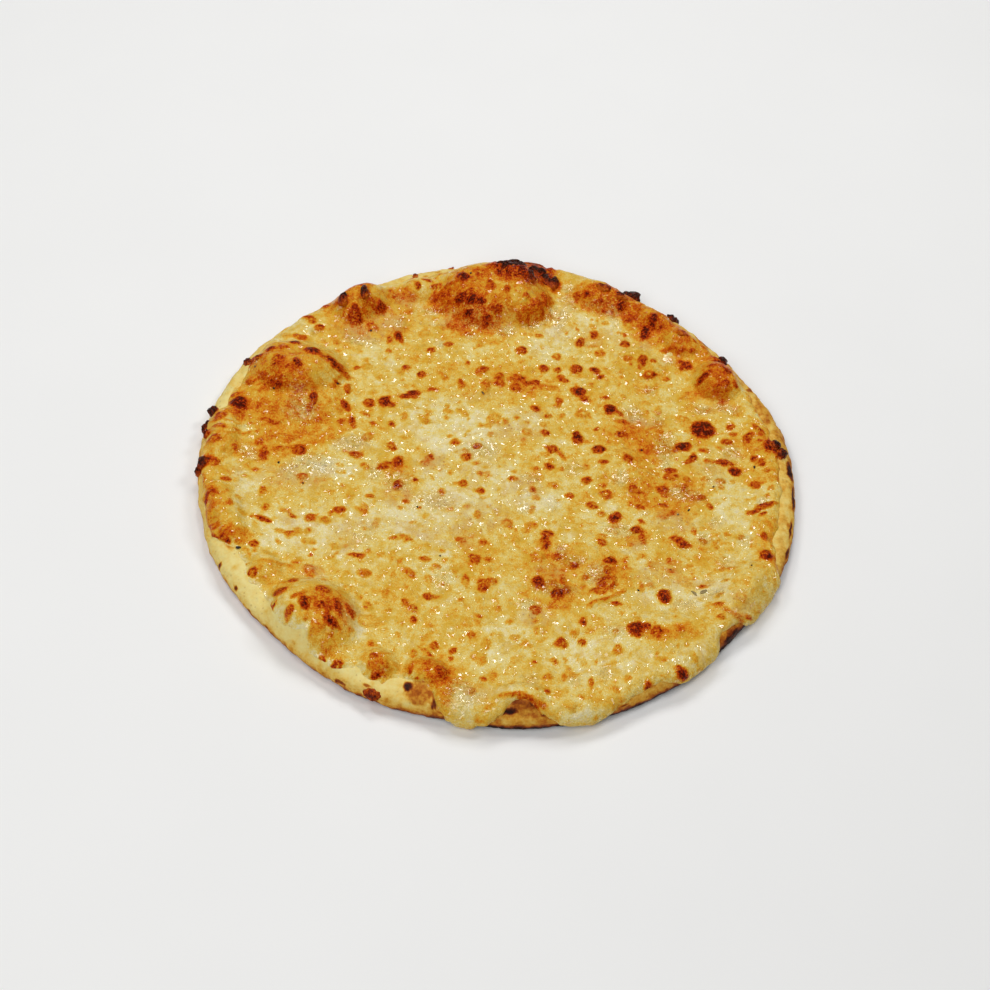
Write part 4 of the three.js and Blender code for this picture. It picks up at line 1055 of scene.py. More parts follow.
def square_to_disc(count):
    """Angle and share of the radius for a square grid bent into a disc: each ring of the square becomes a
    ring of the disc, and the way along its sides becomes the angle."""
    axis = np.linspace(-1, 1, count)
    a, b = np.meshgrid(axis, axis, indexing="ij")
    share = np.maximum(np.abs(a), np.abs(b))
    wide = np.abs(a) >= np.abs(b)
    steps = np.where(wide, b, a) / np.where(share > 0, np.where(wide, a, b), 1)
    angle = np.where(wide, math.pi / 4 * steps, QUARTER - math.pi / 4 * steps)
    angle = angle + np.where(np.where(wide, a, b) < 0, math.pi, 0)
    return angle.ravel(), share.ravel()


def square_rim(count):
    """The grid's outer points in order, counter-clockwise."""
    grid = np.arange(count * count).reshape(count, count)
    return np.concatenate([grid[:-1, 0], grid[-1, :-1], grid[:0:-1, -1], grid[0, :0:-1]])


def cheese_faces(count, rim):
    """Quads of the top's grid and of the underside's rings, and triangles that close its middle."""
    grid = np.arange(count * count).reshape(count, count)
    top = np.stack([grid[:-1, :-1], grid[1:, :-1], grid[1:, 1:], grid[:-1, 1:]], -1).reshape(-1, 4)
    first, rings = count * count, len(UNDERSIDE_SHARES)
    outer = first + np.arange(len(rim))
    joint = np.stack([rim, outer, np.roll(outer, -1), np.roll(rim, -1)], -1)
    innermost = outer + (rings - 1) * len(rim)
    closing = fan(first + rings * len(rim), innermost[::-1])
    return [top, joint, band(first, len(rim), rings), closing]


def cheese_top(top_map, angle, path):
    """The sheet's top: its thickness and relief over the dough, the relief growing inwards from the edge."""
    edge = cheese_edge(angle)
    relief = top_map.read(top_map.relief, angle, path) * (0.25 + 0.75 * ease((edge - path) / EDGE_EASE))
    points = surface(angle, path, cheese_over(angle, path) + relief * (path < edge - 0.01))
    points[:, 2] = np.maximum(points[:, 2], CLEARANCE)
    return points


def make_cheese(settings):
    """The melted cheese: a square grid bent into the sheet's uneven disc, closed by rings of its
    underside."""
    angle, share = square_to_disc(CHEESE_POINTS)
    path = cheese_edge(angle) * ((1 + CROWDING) * share - CROWDING * share**12)
    top_map = TopMap(settings.blister_height, settings.shred_height)
    top = cheese_top(top_map, angle, path)
    rim = square_rim(CHEESE_POINTS)
    rim_angle = np.broadcast_to(angle[rim], (len(UNDERSIDE_SHARES), len(rim)))
    under_path = cheese_edge(rim_angle) * UNDERSIDE_SHARES[:, None]
    under = surface(rim_angle, under_path, np.full_like(under_path, -SUNK)).reshape(-1, 3)
    middle = surface(np.zeros(1), np.zeros(1), np.full(1, -SUNK))
    points = np.concatenate([top, under, middle])

    # Browning, with the painted shade of the bubbles' slopes in it, then sauce and wetness
    fields = {"toast_and_shade": top_map.toast_and_shade, "sauce": top_map.sauce, "wet": top_map.wet}
    values = {name: top_map.read(field, angle, path) for name, field in fields.items()}
    values["toast_and_shade"] = fade_film(angle, path, values["toast_and_shade"])
    hidden = np.full(len(points) - len(top), UNDERSIDE_TONE)
    attributes = {name: np.concatenate([value, hidden]) for name, value in values.items()}
    places = cheese_map(angle, path, rim_angle)
    faces = cheese_faces(CHEESE_POINTS, rim)
    piece = make_piece("melted_cheese", points, faces, cheese_material(settings), attributes, places)
    sharpen_rim(piece.data, rim)
    return piece


def sharpen_rim(mesh, rim):
    """Marks the edges between the rim's points as sharp, so that the top keeps its own shading up to the
    edge."""
    ends = np.empty(2 * len(mesh.edges), np.int32)
    mesh.edges.foreach_get("vertices", ends)
    on_rim = np.zeros(len(mesh.vertices), bool)
    on_rim[rim] = True
    sharp = on_rim[ends.reshape(-1, 2)].all(axis=1)
    mesh.attributes.new("sharp_edge", "BOOLEAN", "EDGE").data.foreach_set("value", sharp)


def fade_film(angle, path, toast_and_shade):
    """Takes the browning back to that of pale dough where the cheese thins to a film, but for the
    blisters."""
    (fullness,) = listed_at(angle, CHEESE_THINNING, 2)
    inside = cheese_edge(angle) - path + 1.6 * noise(*flat_place(angle, path), 4.5, 85)
    film = ease((fullness - 0.7) / 0.25) * fall(inside, 0.6, 4.5) * fall(toast_and_shade, 0.55, 0.75)
    return toast_and_shade - film * np.maximum(toast_and_shade - FILM_TONE, 0)


def cheese_map(angle, path, rim_angle):
    """Places on the bake map: the top as it is unrolled, and the hidden underside small in a corner."""
    top = map_disc(0.5, MAP_REACH / (path.max() + 0.5) * path, angle)
    under = map_disc(UNDERSIDE_MIDDLE, UNDERSIDE_RADIUS * UNDERSIDE_SHARES[:, None], rim_angle)
    return np.concatenate([top, under, [[UNDERSIDE_MIDDLE, UNDERSIDE_MIDDLE]]])


# ---- making proud char, crumbs, flecks

CRUMPLE_WAVES = ((2.2, 0.5), (4.5, 0.35), (9.0, 0.22))  # waves over a lump's radius, and their shares
CRUMPLE_DEPTH = 0.3
BURN = 0.7  # how much of a lump's shading comes from its height, and as much from how far out it reaches


def unit_lump(rings, columns):
    """A sphere as its two poles and rings between them, and its faces."""
    slope = np.linspace(0, math.pi, rings + 2)[1:-1, None]
    turn = np.linspace(0, FULL_TURN, columns, endpoint=False)
    body = [np.sin(slope) * np.cos(turn), np.sin(slope) * np.sin(turn), np.cos(slope) + 0 * turn]
    body = np.stack(body, -1).reshape(-1, 3)
    points = np.concatenate([body, [[0, 0, 1], [0, 0, -1]]])
    first, last = np.arange(columns), (rings - 1) * columns + np.arange(columns)
    top, bottom = fan(len(body), first), fan(len(body) + 1, last[::-1])
    return points, band(0, columns, rings), np.concatenate([top, bottom])


def crumpled(points, seed):
    """A lump's points pushed in and out by three sine waves in random directions, and how far each is
    pushed."""
    rng = np.random.default_rng(seed)
    push = np.zeros(len(points))
    for waves, share in CRUMPLE_WAVES:
        along, cross = rng.normal(size=3), rng.normal(size=3)
        along, cross = along / np.linalg.norm(along), cross / np.linalg.norm(cross)
        bent = waves * points @ along + 2 * np.sin(waves * points @ cross)
        push += share * np.sin(bent + rng.uniform(0, 6))
    return points * (1 + CRUMPLE_DEPTH * push)[:, None], push


def placed_lump(body, seat, size, turn, sunk):
    """A lump's points over its seat: squashed to its length, width and height, turned, and sunk by a
    share."""
    length, width, height = size
    c, s = cos_sin(turn)
    along, across = body[:, 0] * length / 2, body[:, 1] * width / 2
    up = body[:, 2] * height / 2 + height * (0.5 - sunk)
    offsets = np.stack([along * c - across * s, along * s + across * c, up], -1)
    placed = seat + offsets
    placed[:, 2] = np.maximum(placed[:, 2], CLEARANCE)
    return placed, offsets


def make_lumps(name, marks, heights, tones, material, *, shade, spread, sunk, rings, columns):
    """One lump for each listed place, partly sunk into what carries it. Its tone grows by the shade towards
    its top and towards the outside of the pizza."""
    sphere, quads, caps = unit_lump(rings, columns)
    flat = np.array([mark[:2] for mark in unrolled_marks(marks)])
    angle, path = np.arctan2(flat[:, 1], flat[:, 0]), np.hypot(flat[:, 0], flat[:, 1])
    seats = surface(angle, path, cheese_over(angle, path))
    points, tone = [], []
    for k, (_, _, length, width, turn, _) in enumerate(marks):
        length, width = spread * length, spread * width
        body, push = crumpled(sphere, 101 + k)
        placed, offsets = placed_lump(body, seats[k], (length, width, heights[k]), turn, sunk)
        outward = offsets[:, 0] * math.cos(angle[k]) + offsets[:, 1] * math.sin(angle[k])
        burnt = BURN * body[:, 2] + BURN * outward / max(length, width) * 2
        points.append(placed)
        tone.append(np.clip(tones[k] + 0.1 * push + shade * burnt, 0, 1))
    first = (np.arange(len(marks)) * len(sphere))[:, None, None]
    faces = [(quads + first).reshape(-1, 4), (caps + first).reshape(-1, 3)]
    return make_piece(name, np.concatenate(points), faces, material, {"toast_and_shade": np.concatenate(tone)})


def make_rim_char(settings):
    """The rim's charred lumps: the higher, the darker."""
    heights = [mark[5] * settings.height for mark in RIM_CHAR]
    tones = [0.16 + 0.09 * mark[5] for mark in RIM_CHAR]
    form = {"shade": 0.42, "spread": 1.25, "sunk": 0.55, "rings": 15, "columns": 26}
    return make_lumps("rim_char", RIM_CHAR, heights, tones, char_material(settings), **form)


def make_crumbs(settings):
    """The crumbs and flecks, all of one thickness."""
    crumbs = ovals(CRUMBS)
    heights = [settings.thickness / MM] * len(crumbs)
    tones = [crumb[5] for crumb in crumbs]
    form = {"shade": 0.15, "spread": 0.85, "sunk": 0.3, "rings": 5, "columns": 9}
    return make_lumps("crumbs_and_flecks", crumbs, heights, tones, crumb_material(settings), **form)


# ---- material building


def tint(red, green, blue):
    """A screen colour, 0 to 255, as the linear colour that the shaders take."""
    shares = np.array([red, green, blue], float) / 255
    linear = np.where(shares <= 0.04045, shares / 12.92, ((shares + 0.055) / 1.055) ** 2.4)
    return tuple(float(value) for value in linear)


class Nodes:
    """Adds nodes to a tree. Where a socket is wanted, a number or colour may be given instead."""

    def __init__(self, tree):
        self.tree = tree

    def join(self, socket, value):
        """Links a socket to another one, or sets it to a number or colour."""
        if isinstance(value, bpy.types.NodeSocket):
            self.tree.links.new(value, socket)
        elif isinstance(value, tuple) and len(value) == 3 and socket.type == "RGBA":
            socket.default_value = (*value, 1)
        else:
            socket.default_value = value

    def add(self, kind, inputs=None, **settings):
        """A node of this kind, with its settings and then its inputs filled in."""
        node = self.tree.nodes.new(kind)
        for name, value in settings.items():
            setattr(node, name, value)
        for name, value in (inputs or {}).items():
            self.join(node.inputs[name], value)
        return node

    def math(self, operation, *values, clamp=False):
        """A sum on up to three values."""
        node = self.add("ShaderNodeMath", dict(enumerate(values)), operation=operation, use_clamp=clamp)
        return node.outputs[0]

    def product(self, first, *others):
        """All the values multiplied, from the first to the last."""
        for other in others:
            first = self.math("MULTIPLY", first, other)
        return first

    def scaled(self, value, factor, more):
        """A value times a factor, and more added to it."""
        return self.math("MULTIPLY_ADD", value, factor, more)

    def mix(self, share, a, b):
        """The share of the way from colour a to colour b."""
        node = self.add("ShaderNodeMix", {0: share, 6: a, 7: b}, data_type="RGBA")
        return node.outputs[2]

    def rise(self, value, start, end, low=0.0, high=1.0):
        """Smooth change from low to high as the value goes from start to end."""
        inputs = {"Value": value, "From Min": start, "From Max": end, "To Min": low, "To Max": high}
        node = self.add("ShaderNodeMapRange", inputs, interpolation_type="SMOOTHSTEP")
        return node.outputs["Result"]

    def ramp(self, value, stops):
        """Colours eased from stop to stop: a list of position and colour."""
        node = self.add("ShaderNodeValToRGB", {"Fac": value})
        elements = node.color_ramp.elements
        for position, _ in stops[2:]:
            elements.new(position)
        for element, (position, colour) in zip(elements, stops):
            element.position = position
            element.color = (*colour, 1)
        return node.outputs["Color"]

    def noise(self, place, size, detail=2.0, roughness=0.5, distortion=0.0):
        """Noise whose blotches are about this many millimetres across."""
        inputs = {"Vector": place, "Scale": 1 / (size * MM), "Detail": detail, "Roughness": roughness}
        return self.add("ShaderNodeTexNoise", {**inputs, "Distortion": distortion}).outputs["Fac"]

    def stretched(self, place, turn, share=2.6):
        """Places that make what reads them this many times longer in the direction of the turn, in
        radians."""
        inputs = {"Vector": place, "Rotation": (0, 0, turn), "Scale": (share, 1, 1)}
        return self.add("ShaderNodeMapping", inputs, vector_type="TEXTURE").outputs[0]

    def attribute(self, name):
        """The values that the mesh carries under this name."""
        return self.add("ShaderNodeAttribute", attribute_name=name).outputs["Fac"]

    def group(self, tree, inputs):
        """The one output of a shader group."""
        return self.add("ShaderNodeGroup", inputs, node_tree=tree).outputs[0]

    def mottled(self, place, value, depth, size):
        """The value made uneven by this depth, in blotches of this size in millimetres."""
        inputs = {"Place": place, "Value": value, "Depth": depth, "Scale": 1 / (size * MM)}
        return self.group(mottle_group(), inputs)

    def wrinkled(self, place, size, pull):
        """Height of wrinkles of this size in millimetres."""
        return self.group(wrinkle_group(), {"Place": place, "Scale": 1 / (size * MM), "Pull": pull})

    def specked(self, place, size, share):
        """Mask of specks in a share of cells of this size in millimetres."""
        return self.group(speck_group(), {"Place": place, "Scale": 1 / (size * MM), "Share": share})


def new_group(name, inputs, output, fill):
    """A shader group with float inputs and their defaults, one float output, and a Place vector input. It is
    built once, and later calls return the same one."""
    if name in bpy.data.node_groups:
        return bpy.data.node_groups[name]
    tree = bpy.data.node_groups.new(name, "ShaderNodeTree")
    tree.interface.new_socket("Place", in_out="INPUT", socket_type="NodeSocketVector")
    for title, default in inputs.items():
        socket = tree.interface.new_socket(title, in_out="INPUT", socket_type="NodeSocketFloat")
        socket.default_value = default
    tree.interface.new_socket(output, in_out="OUTPUT", socket_type="NodeSocketFloat")
    nodes = Nodes(tree)
    given = nodes.add("NodeGroupInput").outputs
    nodes.add("NodeGroupOutput", {0: fill(nodes, given)})
    return tree


def mottle_group():
    """Adds uneven noise to a value: Value plus Depth times noise of the given Scale, from -1 to 1."""

    def fill(nodes, given):
        inputs = {"Vector": given["Place"], "Scale": given["Scale"], "Detail": 3.0, "Roughness": 0.6}
        swing = nodes.add("ShaderNodeTexNoise", inputs).outputs["Fac"]
        swing = nodes.rise(swing, 0.28, 0.72, -1.0, 1.0)
        return nodes.scaled(swing, given["Depth"], given["Value"])

    return new_group("Mottle", {"Value": 0.0, "Depth": 0.1, "Scale": 400.0}, "Value", fill)


def wrinkle_group():
    """Relief of a wrinkled, crinkled skin: how far noise, pulled about by coarser noise, lies from its
    middle."""

    def fill(nodes, given):
        coarse = nodes.math("MULTIPLY", given["Scale"], 0.4)
        inputs = {"Vector": given["Place"], "Scale": coarse, "Detail": 1.0}
        pull = nodes.add("ShaderNodeTexNoise", inputs).outputs["Color"]
        reach = nodes.math("DIVIDE", given["Pull"], given["Scale"])
        moved = nodes.add("ShaderNodeVectorMath", {0: pull, "Scale": reach}, operation="SCALE").outputs[0]
        moved = nodes.add("ShaderNodeVectorMath", {0: moved, 1: given["Place"]}, operation="ADD").outputs[0]
        inputs = {"Vector": moved, "Scale": given["Scale"], "Detail": 2.0, "Roughness": 0.55}
        wave = nodes.add("ShaderNodeTexNoise", inputs).outputs["Fac"]
        ridge = nodes.math("ABSOLUTE", nodes.math("SUBTRACT", wave, 0.5))
        return nodes.math("SUBTRACT", 1.0, nodes.math("MULTIPLY", ridge, 4.0), clamp=True)

    return new_group("Wrinkles", {"Scale": 500.0, "Pull": 2.0}, "Height", fill)


def speck_group():
    """Mask of small scattered specks: the middles of random cells, of which only a share is kept."""

    def fill(nodes, given):
        inputs = {"Vector": given["Place"], "Scale": given["Scale"], "Randomness": 1.0}
        cells = nodes.add("ShaderNodeTexVoronoi", inputs)
        spot = nodes.rise(cells.outputs["Distance"], 0.32, 0.14)
        chance = nodes.add("ShaderNodeSeparateColor", {"Color": cells.outputs["Color"]}).outputs["Red"]
        chosen = nodes.math("LESS_THAN", chance, given["Share"])
        return nodes.math("MULTIPLY", spot, chosen)

    return new_group("Specks", {"Scale": 300.0, "Share": 0.2}, "Mask", fill)


def start_material(name):
    """A material with an empty tree but for its shader; returns it, its nodes, the shader and the object's
    places."""
    material = bpy.data.materials.new(name)
    material.use_nodes = True
    material.node_tree.nodes.clear()
    nodes = Nodes(material.node_tree)
    shader = nodes.add("ShaderNodeBsdfPrincipled")
    nodes.add("ShaderNodeOutputMaterial", {"Surface": shader.outputs["BSDF"]})
    place = nodes.add("ShaderNodeTexCoord").outputs["Object"]
    return material, nodes, shader, place


def set_sockets(nodes, shader, values):
    """Fills in the shader's inputs by name."""
    for name, value in values.items():
        nodes.join(shader.inputs[name], value)


def bump(nodes, height, strength=1.0):
    """Normal from a height in millimetres."""
    inputs = {"Height": height, "Distance": MM, "Strength": strength}
    return nodes.add("ShaderNodeBump", inputs).outputs["Normal"]


def palette(nodes, tone, colours):
    """The colour that a tone has in a list of positions and screen colours."""
    return nodes.ramp(tone, [(at, tint(*colour)) for at, colour in colours])


# Colours by browning, from 0 for unbaked to 1 for burnt
CHEESE_COLOURS = (
    (0.0, (237, 225, 182)), (0.13, (232, 215, 150)), (0.25, (229, 202, 110)), (0.36, (225, 183, 74)),
    (0.46, (220, 158, 42)), (0.56, (212, 129, 18)), (0.64, (202, 98, 4)), (0.74, (186, 65, 0)),
    (0.85, (158, 38, 0)), (0.94, (118, 22, 0)), (1.0, (74, 10, 0)),
)
DOUGH_COLOURS = (
    (0.0, (233, 216, 142)), (0.2, (230, 204, 120)), (0.35, (225, 186, 88)), (0.5, (208, 148, 46)),
    (0.64, (176, 96, 20)), (0.78, (126, 54, 10)), (0.9, (84, 30, 8)), (1.0, (44, 16, 8)),
)
CHAR_COLOURS = ((0.55, (196, 100, 12)), (0.7, (164, 60, 4)), (0.84, (116, 32, 3)), (1.0, (44, 12, 6)))
CRUMB_COLOURS = ((0.6, (92, 66, 36)), (0.85, (58, 22, 10)), (1.0, (18, 8, 6)))
HERB_POSITION = 0.3

# Specks in the cheese: size of their cells, share of the cells, strength over sauce and elsewhere
CHEESE_SPECKS = ((1.5, 0.35, 0.8, 0.06), (2.8, 0.22, 0.6, 0.14))


def cheese_tone(nodes, place, toast_and_shade):
    """Browning of the cheese with mottling of three sizes, the middle one stronger where it is well
    browned."""
    tone = nodes.mottled(place, toast_and_shade, 0.09, 3.2)
    tone = nodes.mottled(place, tone, nodes.rise(toast_and_shade, 0.5, 0.9, 0.045, 0.2), 1.1)
    return nodes.mottled(place, tone, 0.1, 0.6)


def cheese_colour(nodes, place, tone, pale, sauce, wet, settings):
    """The palette's colour with clouds over it, buttery and pinkish in the pale cheese, with a painted
    whitish sheen in the wet, and fine specks, most of them where the sauce shows."""
    colour = palette(nodes, tone, CHEESE_COLOURS)
    butter = nodes.rise(nodes.noise(place, 8.0, 3.0, 0.62, 0.4), 0.46, 0.68)
    colour = nodes.mix(nodes.product(butter, pale, 0.65), colour, tuple(settings.butter_colour))
    cloud = nodes.rise(nodes.noise(place, 6.0, 3.0, 0.6), 0.36, 0.6)
    colour = nodes.mix(nodes.product(sauce, cloud, pale, 0.75), colour, tuple(settings.sauce_colour))
    # Painted sheen: a milky whitish colour laid over the pale wet places, where a soft highlight would show
    painted_sheen = nodes.rise(nodes.noise(place, 2.6, 3.0, 0.6), 0.36, 0.62)
    painted_sheen = nodes.product(painted_sheen, wet, nodes.rise(tone, 0.56, 0.38), 0.75)
    colour = nodes.mix(painted_sheen, colour, tuple(settings.painted_sheen_colour))
    for size, share, much, little in CHEESE_SPECKS:
        specks = nodes.product(nodes.specked(place, size, share), nodes.scaled(sauce, much, little))
        colour = nodes.mix(specks, colour, tuple(settings.speck_colour))
    return colour


def cheese_skin(nodes, place, toast_and_shade, wet):
    """Height of the skin in millimetres: grain and two sizes of wrinkles, deeper where it is wet or
    browned."""
    grain = nodes.noise(place, 1.0, 3.0, 0.65)
    crinkles, fine = nodes.wrinkled(place, 3.4, 1.6), nodes.wrinkled(place, 1.5, 1.3)
    height = nodes.math("MULTIPLY", grain, nodes.scaled(wet, 0.6, 0.5))
    creased = nodes.scaled(wet, 0.5, nodes.rise(toast_and_shade, 0.5, 0.8, 0.2, 0.5))
    height = nodes.scaled(crinkles, creased, height)
    return nodes.scaled(fine, nodes.scaled(wet, 0.4, 0.1), height)


def film_ripples(nodes, place):
    """Height of the wet film in millimetres: short streaks, some running one way and some the other, on
    swells."""
    one_way = nodes.noise(nodes.stretched(place, 0.7), 1.7, 0.0, 0.5, 0.5)
    other_way = nodes.noise(nodes.stretched(place, -0.9), 1.7, 0.0, 0.5, 0.5)
    swap = nodes.rise(nodes.noise(place, 8.0), 0.46, 0.54)
    streaks = nodes.scaled(swap, nodes.math("SUBTRACT", other_way, one_way), one_way)
    swells = nodes.noise(place, 5.0, 0.0, 0.5, 0.5)
    return nodes.scaled(swells, 2.4, nodes.math("MULTIPLY", streaks, 0.42))


def film_cover(nodes, place, wet, pale):
    """Where the film lies: in pools on the wet places, and in drops on the pale cheese."""
    pools = nodes.rise(nodes.noise(place, 4.4, 2.0), 0.36, 0.46)
    pools = nodes.math("MULTIPLY", pools, nodes.scaled(pale, 0.7, 0.3))
    drops = nodes.math("MULTIPLY", nodes.rise(nodes.noise(place, 2.4, 1.0), 0.58, 0.64), pale)
    return nodes.math("MAXIMUM", nodes.math("MULTIPLY", wet, pools), drops)


def cheese_material(settings):
    """Melted cheese: browned, with painted shade on some bubble slopes, clouded and specked, a painted sheen
    on the wet places, a wrinkled skin and, where it is wet, a glossy film."""
    material, nodes, shader, place = start_material("melted_cheese")
    toast_and_shade, sauce, wet = (nodes.attribute(name) for name in ("toast_and_shade", "sauce", "wet"))
    tone = cheese_tone(nodes, place, toast_and_shade)
    pale = nodes.rise(tone, 0.68, 0.46)
    dry = nodes.rise(nodes.noise(place, 5.0, 3.0), 0.35, 0.65, 0.3, 0.5)
    skin, film = cheese_skin(nodes, place, toast_and_shade, wet), film_ripples(nodes, place)
    values = {
        "Base Color": cheese_colour(nodes, place, tone, pale, sauce, wet, settings),
        "Roughness": nodes.math("SUBTRACT", dry, nodes.math("MULTIPLY", wet, 0.18)),
        "Normal": bump(nodes, skin, settings.wrinkle_strength),
        "Coat Weight": film_cover(nodes, place, wet, pale),
        "Coat Roughness": 0.05,
        "Coat IOR": 1.75,
        "Coat Normal": bump(nodes, film, settings.film_strength),
        "IOR": 1.45,
        "Specular IOR Level": 0.14,
        "Specular Tint": (1.0, 0.72, 0.4, 1.0),
        "Subsurface Weight": 0.06,
        "Subsurface Radius": (1.0, 0.75, 0.4),
        "Subsurface Scale": 0.0009,
    }
    set_sockets(nodes, shader, values)
    return material


def dough_material(settings):
    """Baked dough: pale to burnt by its browning, on the side partly painted shade, with mottling, fine
    pores and a dull skin.
    """
    material, nodes, shader, place = start_material("baked_dough")
    tone = nodes.mottled(place, nodes.attribute("toast_and_shade"), 0.1, 4.5)
    tone = nodes.mottled(place, tone, 0.05, 1.3)
    pores = nodes.specked(place, 2.0, 0.3)
    colour = palette(nodes, tone, DOUGH_COLOURS)
    colour = nodes.mix(nodes.math("MULTIPLY", pores, 0.25), colour, tuple(settings.pore_colour))
    height = nodes.math("MULTIPLY", nodes.noise(place, 1.2, 3.0, 0.6), 0.3)
    height = nodes.scaled(nodes.wrinkled(place, 3.6, 1.4), 0.12, height)
    height = nodes.scaled(pores, -0.18, height)
    values = {
        "Base Color": colour,
        "Roughness": nodes.rise(nodes.noise(place, 6.0, 3.0), 0.35, 0.65, 0.5, 0.72),
        "Normal": bump(nodes, height, settings.skin_strength),
        "Specular IOR Level": 0.12,
        "Subsurface Weight": 0.08,
        "Subsurface Radius": (1.0, 0.6, 0.3),
        "Subsurface Scale": 0.002,
    }
    set_sockets(nodes, shader, values)
    return material


def char_material(settings):
    """Burnt skin: red-brown to black by its tone, cracked, with a hard gloss in places."""
    material, nodes, shader, place = start_material("burnt_skin")
    tone = nodes.mottled(place, nodes.attribute("toast_and_shade"), 0.15, 1.4)
    cracks = nodes.math("MULTIPLY", nodes.wrinkled(place, 2.2, 1.6), settings.crackle)
    values = {
        "Base Color": palette(nodes, tone, CHAR_COLOURS),
        "Roughness": nodes.rise(nodes.noise(place, 2.0, 3.0), 0.35, 0.65, 0.25, 0.5),
        "Normal": bump(nodes, cracks),
        "Specular IOR Level": 0.16,
        "Specular Tint": (1.0, 0.8, 0.6, 1.0),
    }
    set_sockets(nodes, shader, values)
    return material


def crumb_material(settings):
    """Burnt crumbs, nearly black, and grey-green herb flecks, both dull and rough."""
    material, nodes, shader, place = start_material("crumbs")
    tone = nodes.mottled(place, nodes.attribute("toast_and_shade"), 0.08, 0.8)
    stops = [(HERB_POSITION, tuple(settings.herb_colour)), *((at, tint(*rgb)) for at, rgb in CRUMB_COLOURS)]
    grain = nodes.noise(place, 0.6, 3.0, 0.6)
    values = {
        "Base Color": nodes.ramp(tone, stops),
        "Roughness": nodes.rise(grain, 0.3, 0.7, 0.5, 0.8),
        "Normal": bump(nodes, nodes.math("MULTIPLY", grain, 0.3)),
    }
    set_sockets(nodes, shader, values)
    return material


# ---- stage

TARGET = (-0.5, -15.45, 6.0)  # what the camera looks at, in millimetres
ELEVATION = 49.98  # how steeply the camera looks down, in degrees
ROLL = 5.628  # in degrees
SENSOR_WIDTH = 36
NEAREST, FURTHEST = 0.01, 20  # what the camera can see, in metres
FLOOR_SHADE = 0.97  # the darker tone of the floor's faint unevenness
ROOM_COLOUR = (1.0, 0.975, 0.94, 1)

# Lights: name, place in metres, width, power in watts
LIGHTS = (
    ("soft_front", (-0.4, -0.9, 1.3), 1.3, 15.5),
    ("gloss_back", (0.0, 0.95, 1.2), 0.42, 6.4),
    ("gloss_left", (-0.75, 0.5, 1.2), 0.36, 4.2),
    ("gloss_right", (0.8, 0.45, 1.2), 0.38, 5.2),
)


def camera_axes():
    """The camera's right, up and backward directions: level with the front, raised, then rolled."""
    raised, rolled = math.radians(ELEVATION), math.radians(ROLL)
    back = Vector((0, -math.cos(raised), math.sin(raised)))
    right = Vector((1, 0, 0))
    up = back.cross(right)
    across = right * math.cos(rolled) + up * math.sin(rolled)
    return across, back.cross(across), back


def make_camera(settings):
    """The camera, at its distance behind what it looks at."""
    data = bpy.data.cameras.new("camera")
    data.lens = settings.lens
    data.sensor_width = SENSOR_WIDTH
    data.clip_start, data.clip_end = NEAREST, FURTHEST
    data.dof.use_dof = False
    camera = add_object("camera", data)
    across, up, back = camera_axes()
    turned = Matrix((across, up, back)).transposed().to_4x4()
    place = Vector(TARGET) * MM + back * settings.distance
    camera.matrix_world = Matrix.Translation(place) @ turned
    bpy.context.scene.camera = camera


def make_floor(settings):
    """A level square, pale all over with a faint unevenness."""
    mesh = bpy.data.meshes.new("floor")
    half = settings.floor_size / 2
    corners = [(-half, -half, 0), (half, -half, 0), (half, half, 0), (-half, half, 0)]
    mesh.from_pydata(corners, [], [(0, 1, 2, 3)])
    material, nodes, shader, place = start_material("pale_floor")
    dark = tuple(FLOOR_SHADE * value for value in settings.floor_colour)
    colour = nodes.mix(nodes.noise(place, 90.0, 2.0), tuple(settings.floor_colour), dark)
    set_sockets(nodes, shader, {"Base Color": colour, "Roughness": 0.75, "Specular IOR Level": 0.2})
    mesh.materials.append(material)
    floor = add_object("floor", mesh)


def make_lights(settings):
    """Square lights that point at the pizza, and the even light of a pale room."""
    for name, place, width, power in LIGHTS:
        data = bpy.data.lights.new(name, "AREA")
        data.size = width
        data.energy = power * settings.light_power
        light = add_object(name, data)
        light.location = place
        light.rotation_euler = (-Vector(place)).to_track_quat("-Z", "Y").to_euler()
    world = bpy.data.worlds.new("pale_room")
    world.use_nodes = True
    background = world.node_tree.nodes["Background"]
    background.inputs["Color"].default_value = ROOM_COLOUR
    background.inputs["Strength"].default_value = settings.room_light
    bpy.context.scene.world = world
    bpy.context.scene.view_settings.view_transform = "Standard"


# ---- settings, operators, panel


def colour(name, description, default):
    """A colour setting."""
    return bpy.props.FloatVectorProperty(
        name=name, description=description, default=default, size=3, min=0, max=1, subtype="COLOR"
    )


def amount(name, description, default, least=0.0, **more):
    """A number setting, which may also have a highest value and a unit."""
    return bpy.props.FloatProperty(name=name, description=description, default=default, min=least, **more)


class CrustSettings(bpy.types.PropertyGroup):
    """Looks of the baked dough."""

    unevenness: amount("Unevenness", "Height of the bare dough's swells, as a share of their usual one", 1.0)
    skin_strength: amount("Skin", "Strength of the pores and creases in the dough's skin", 0.8, max=1.0)
    pore_colour: colour("Pores", "Colour in the dough's pores", tint(150, 92, 40))


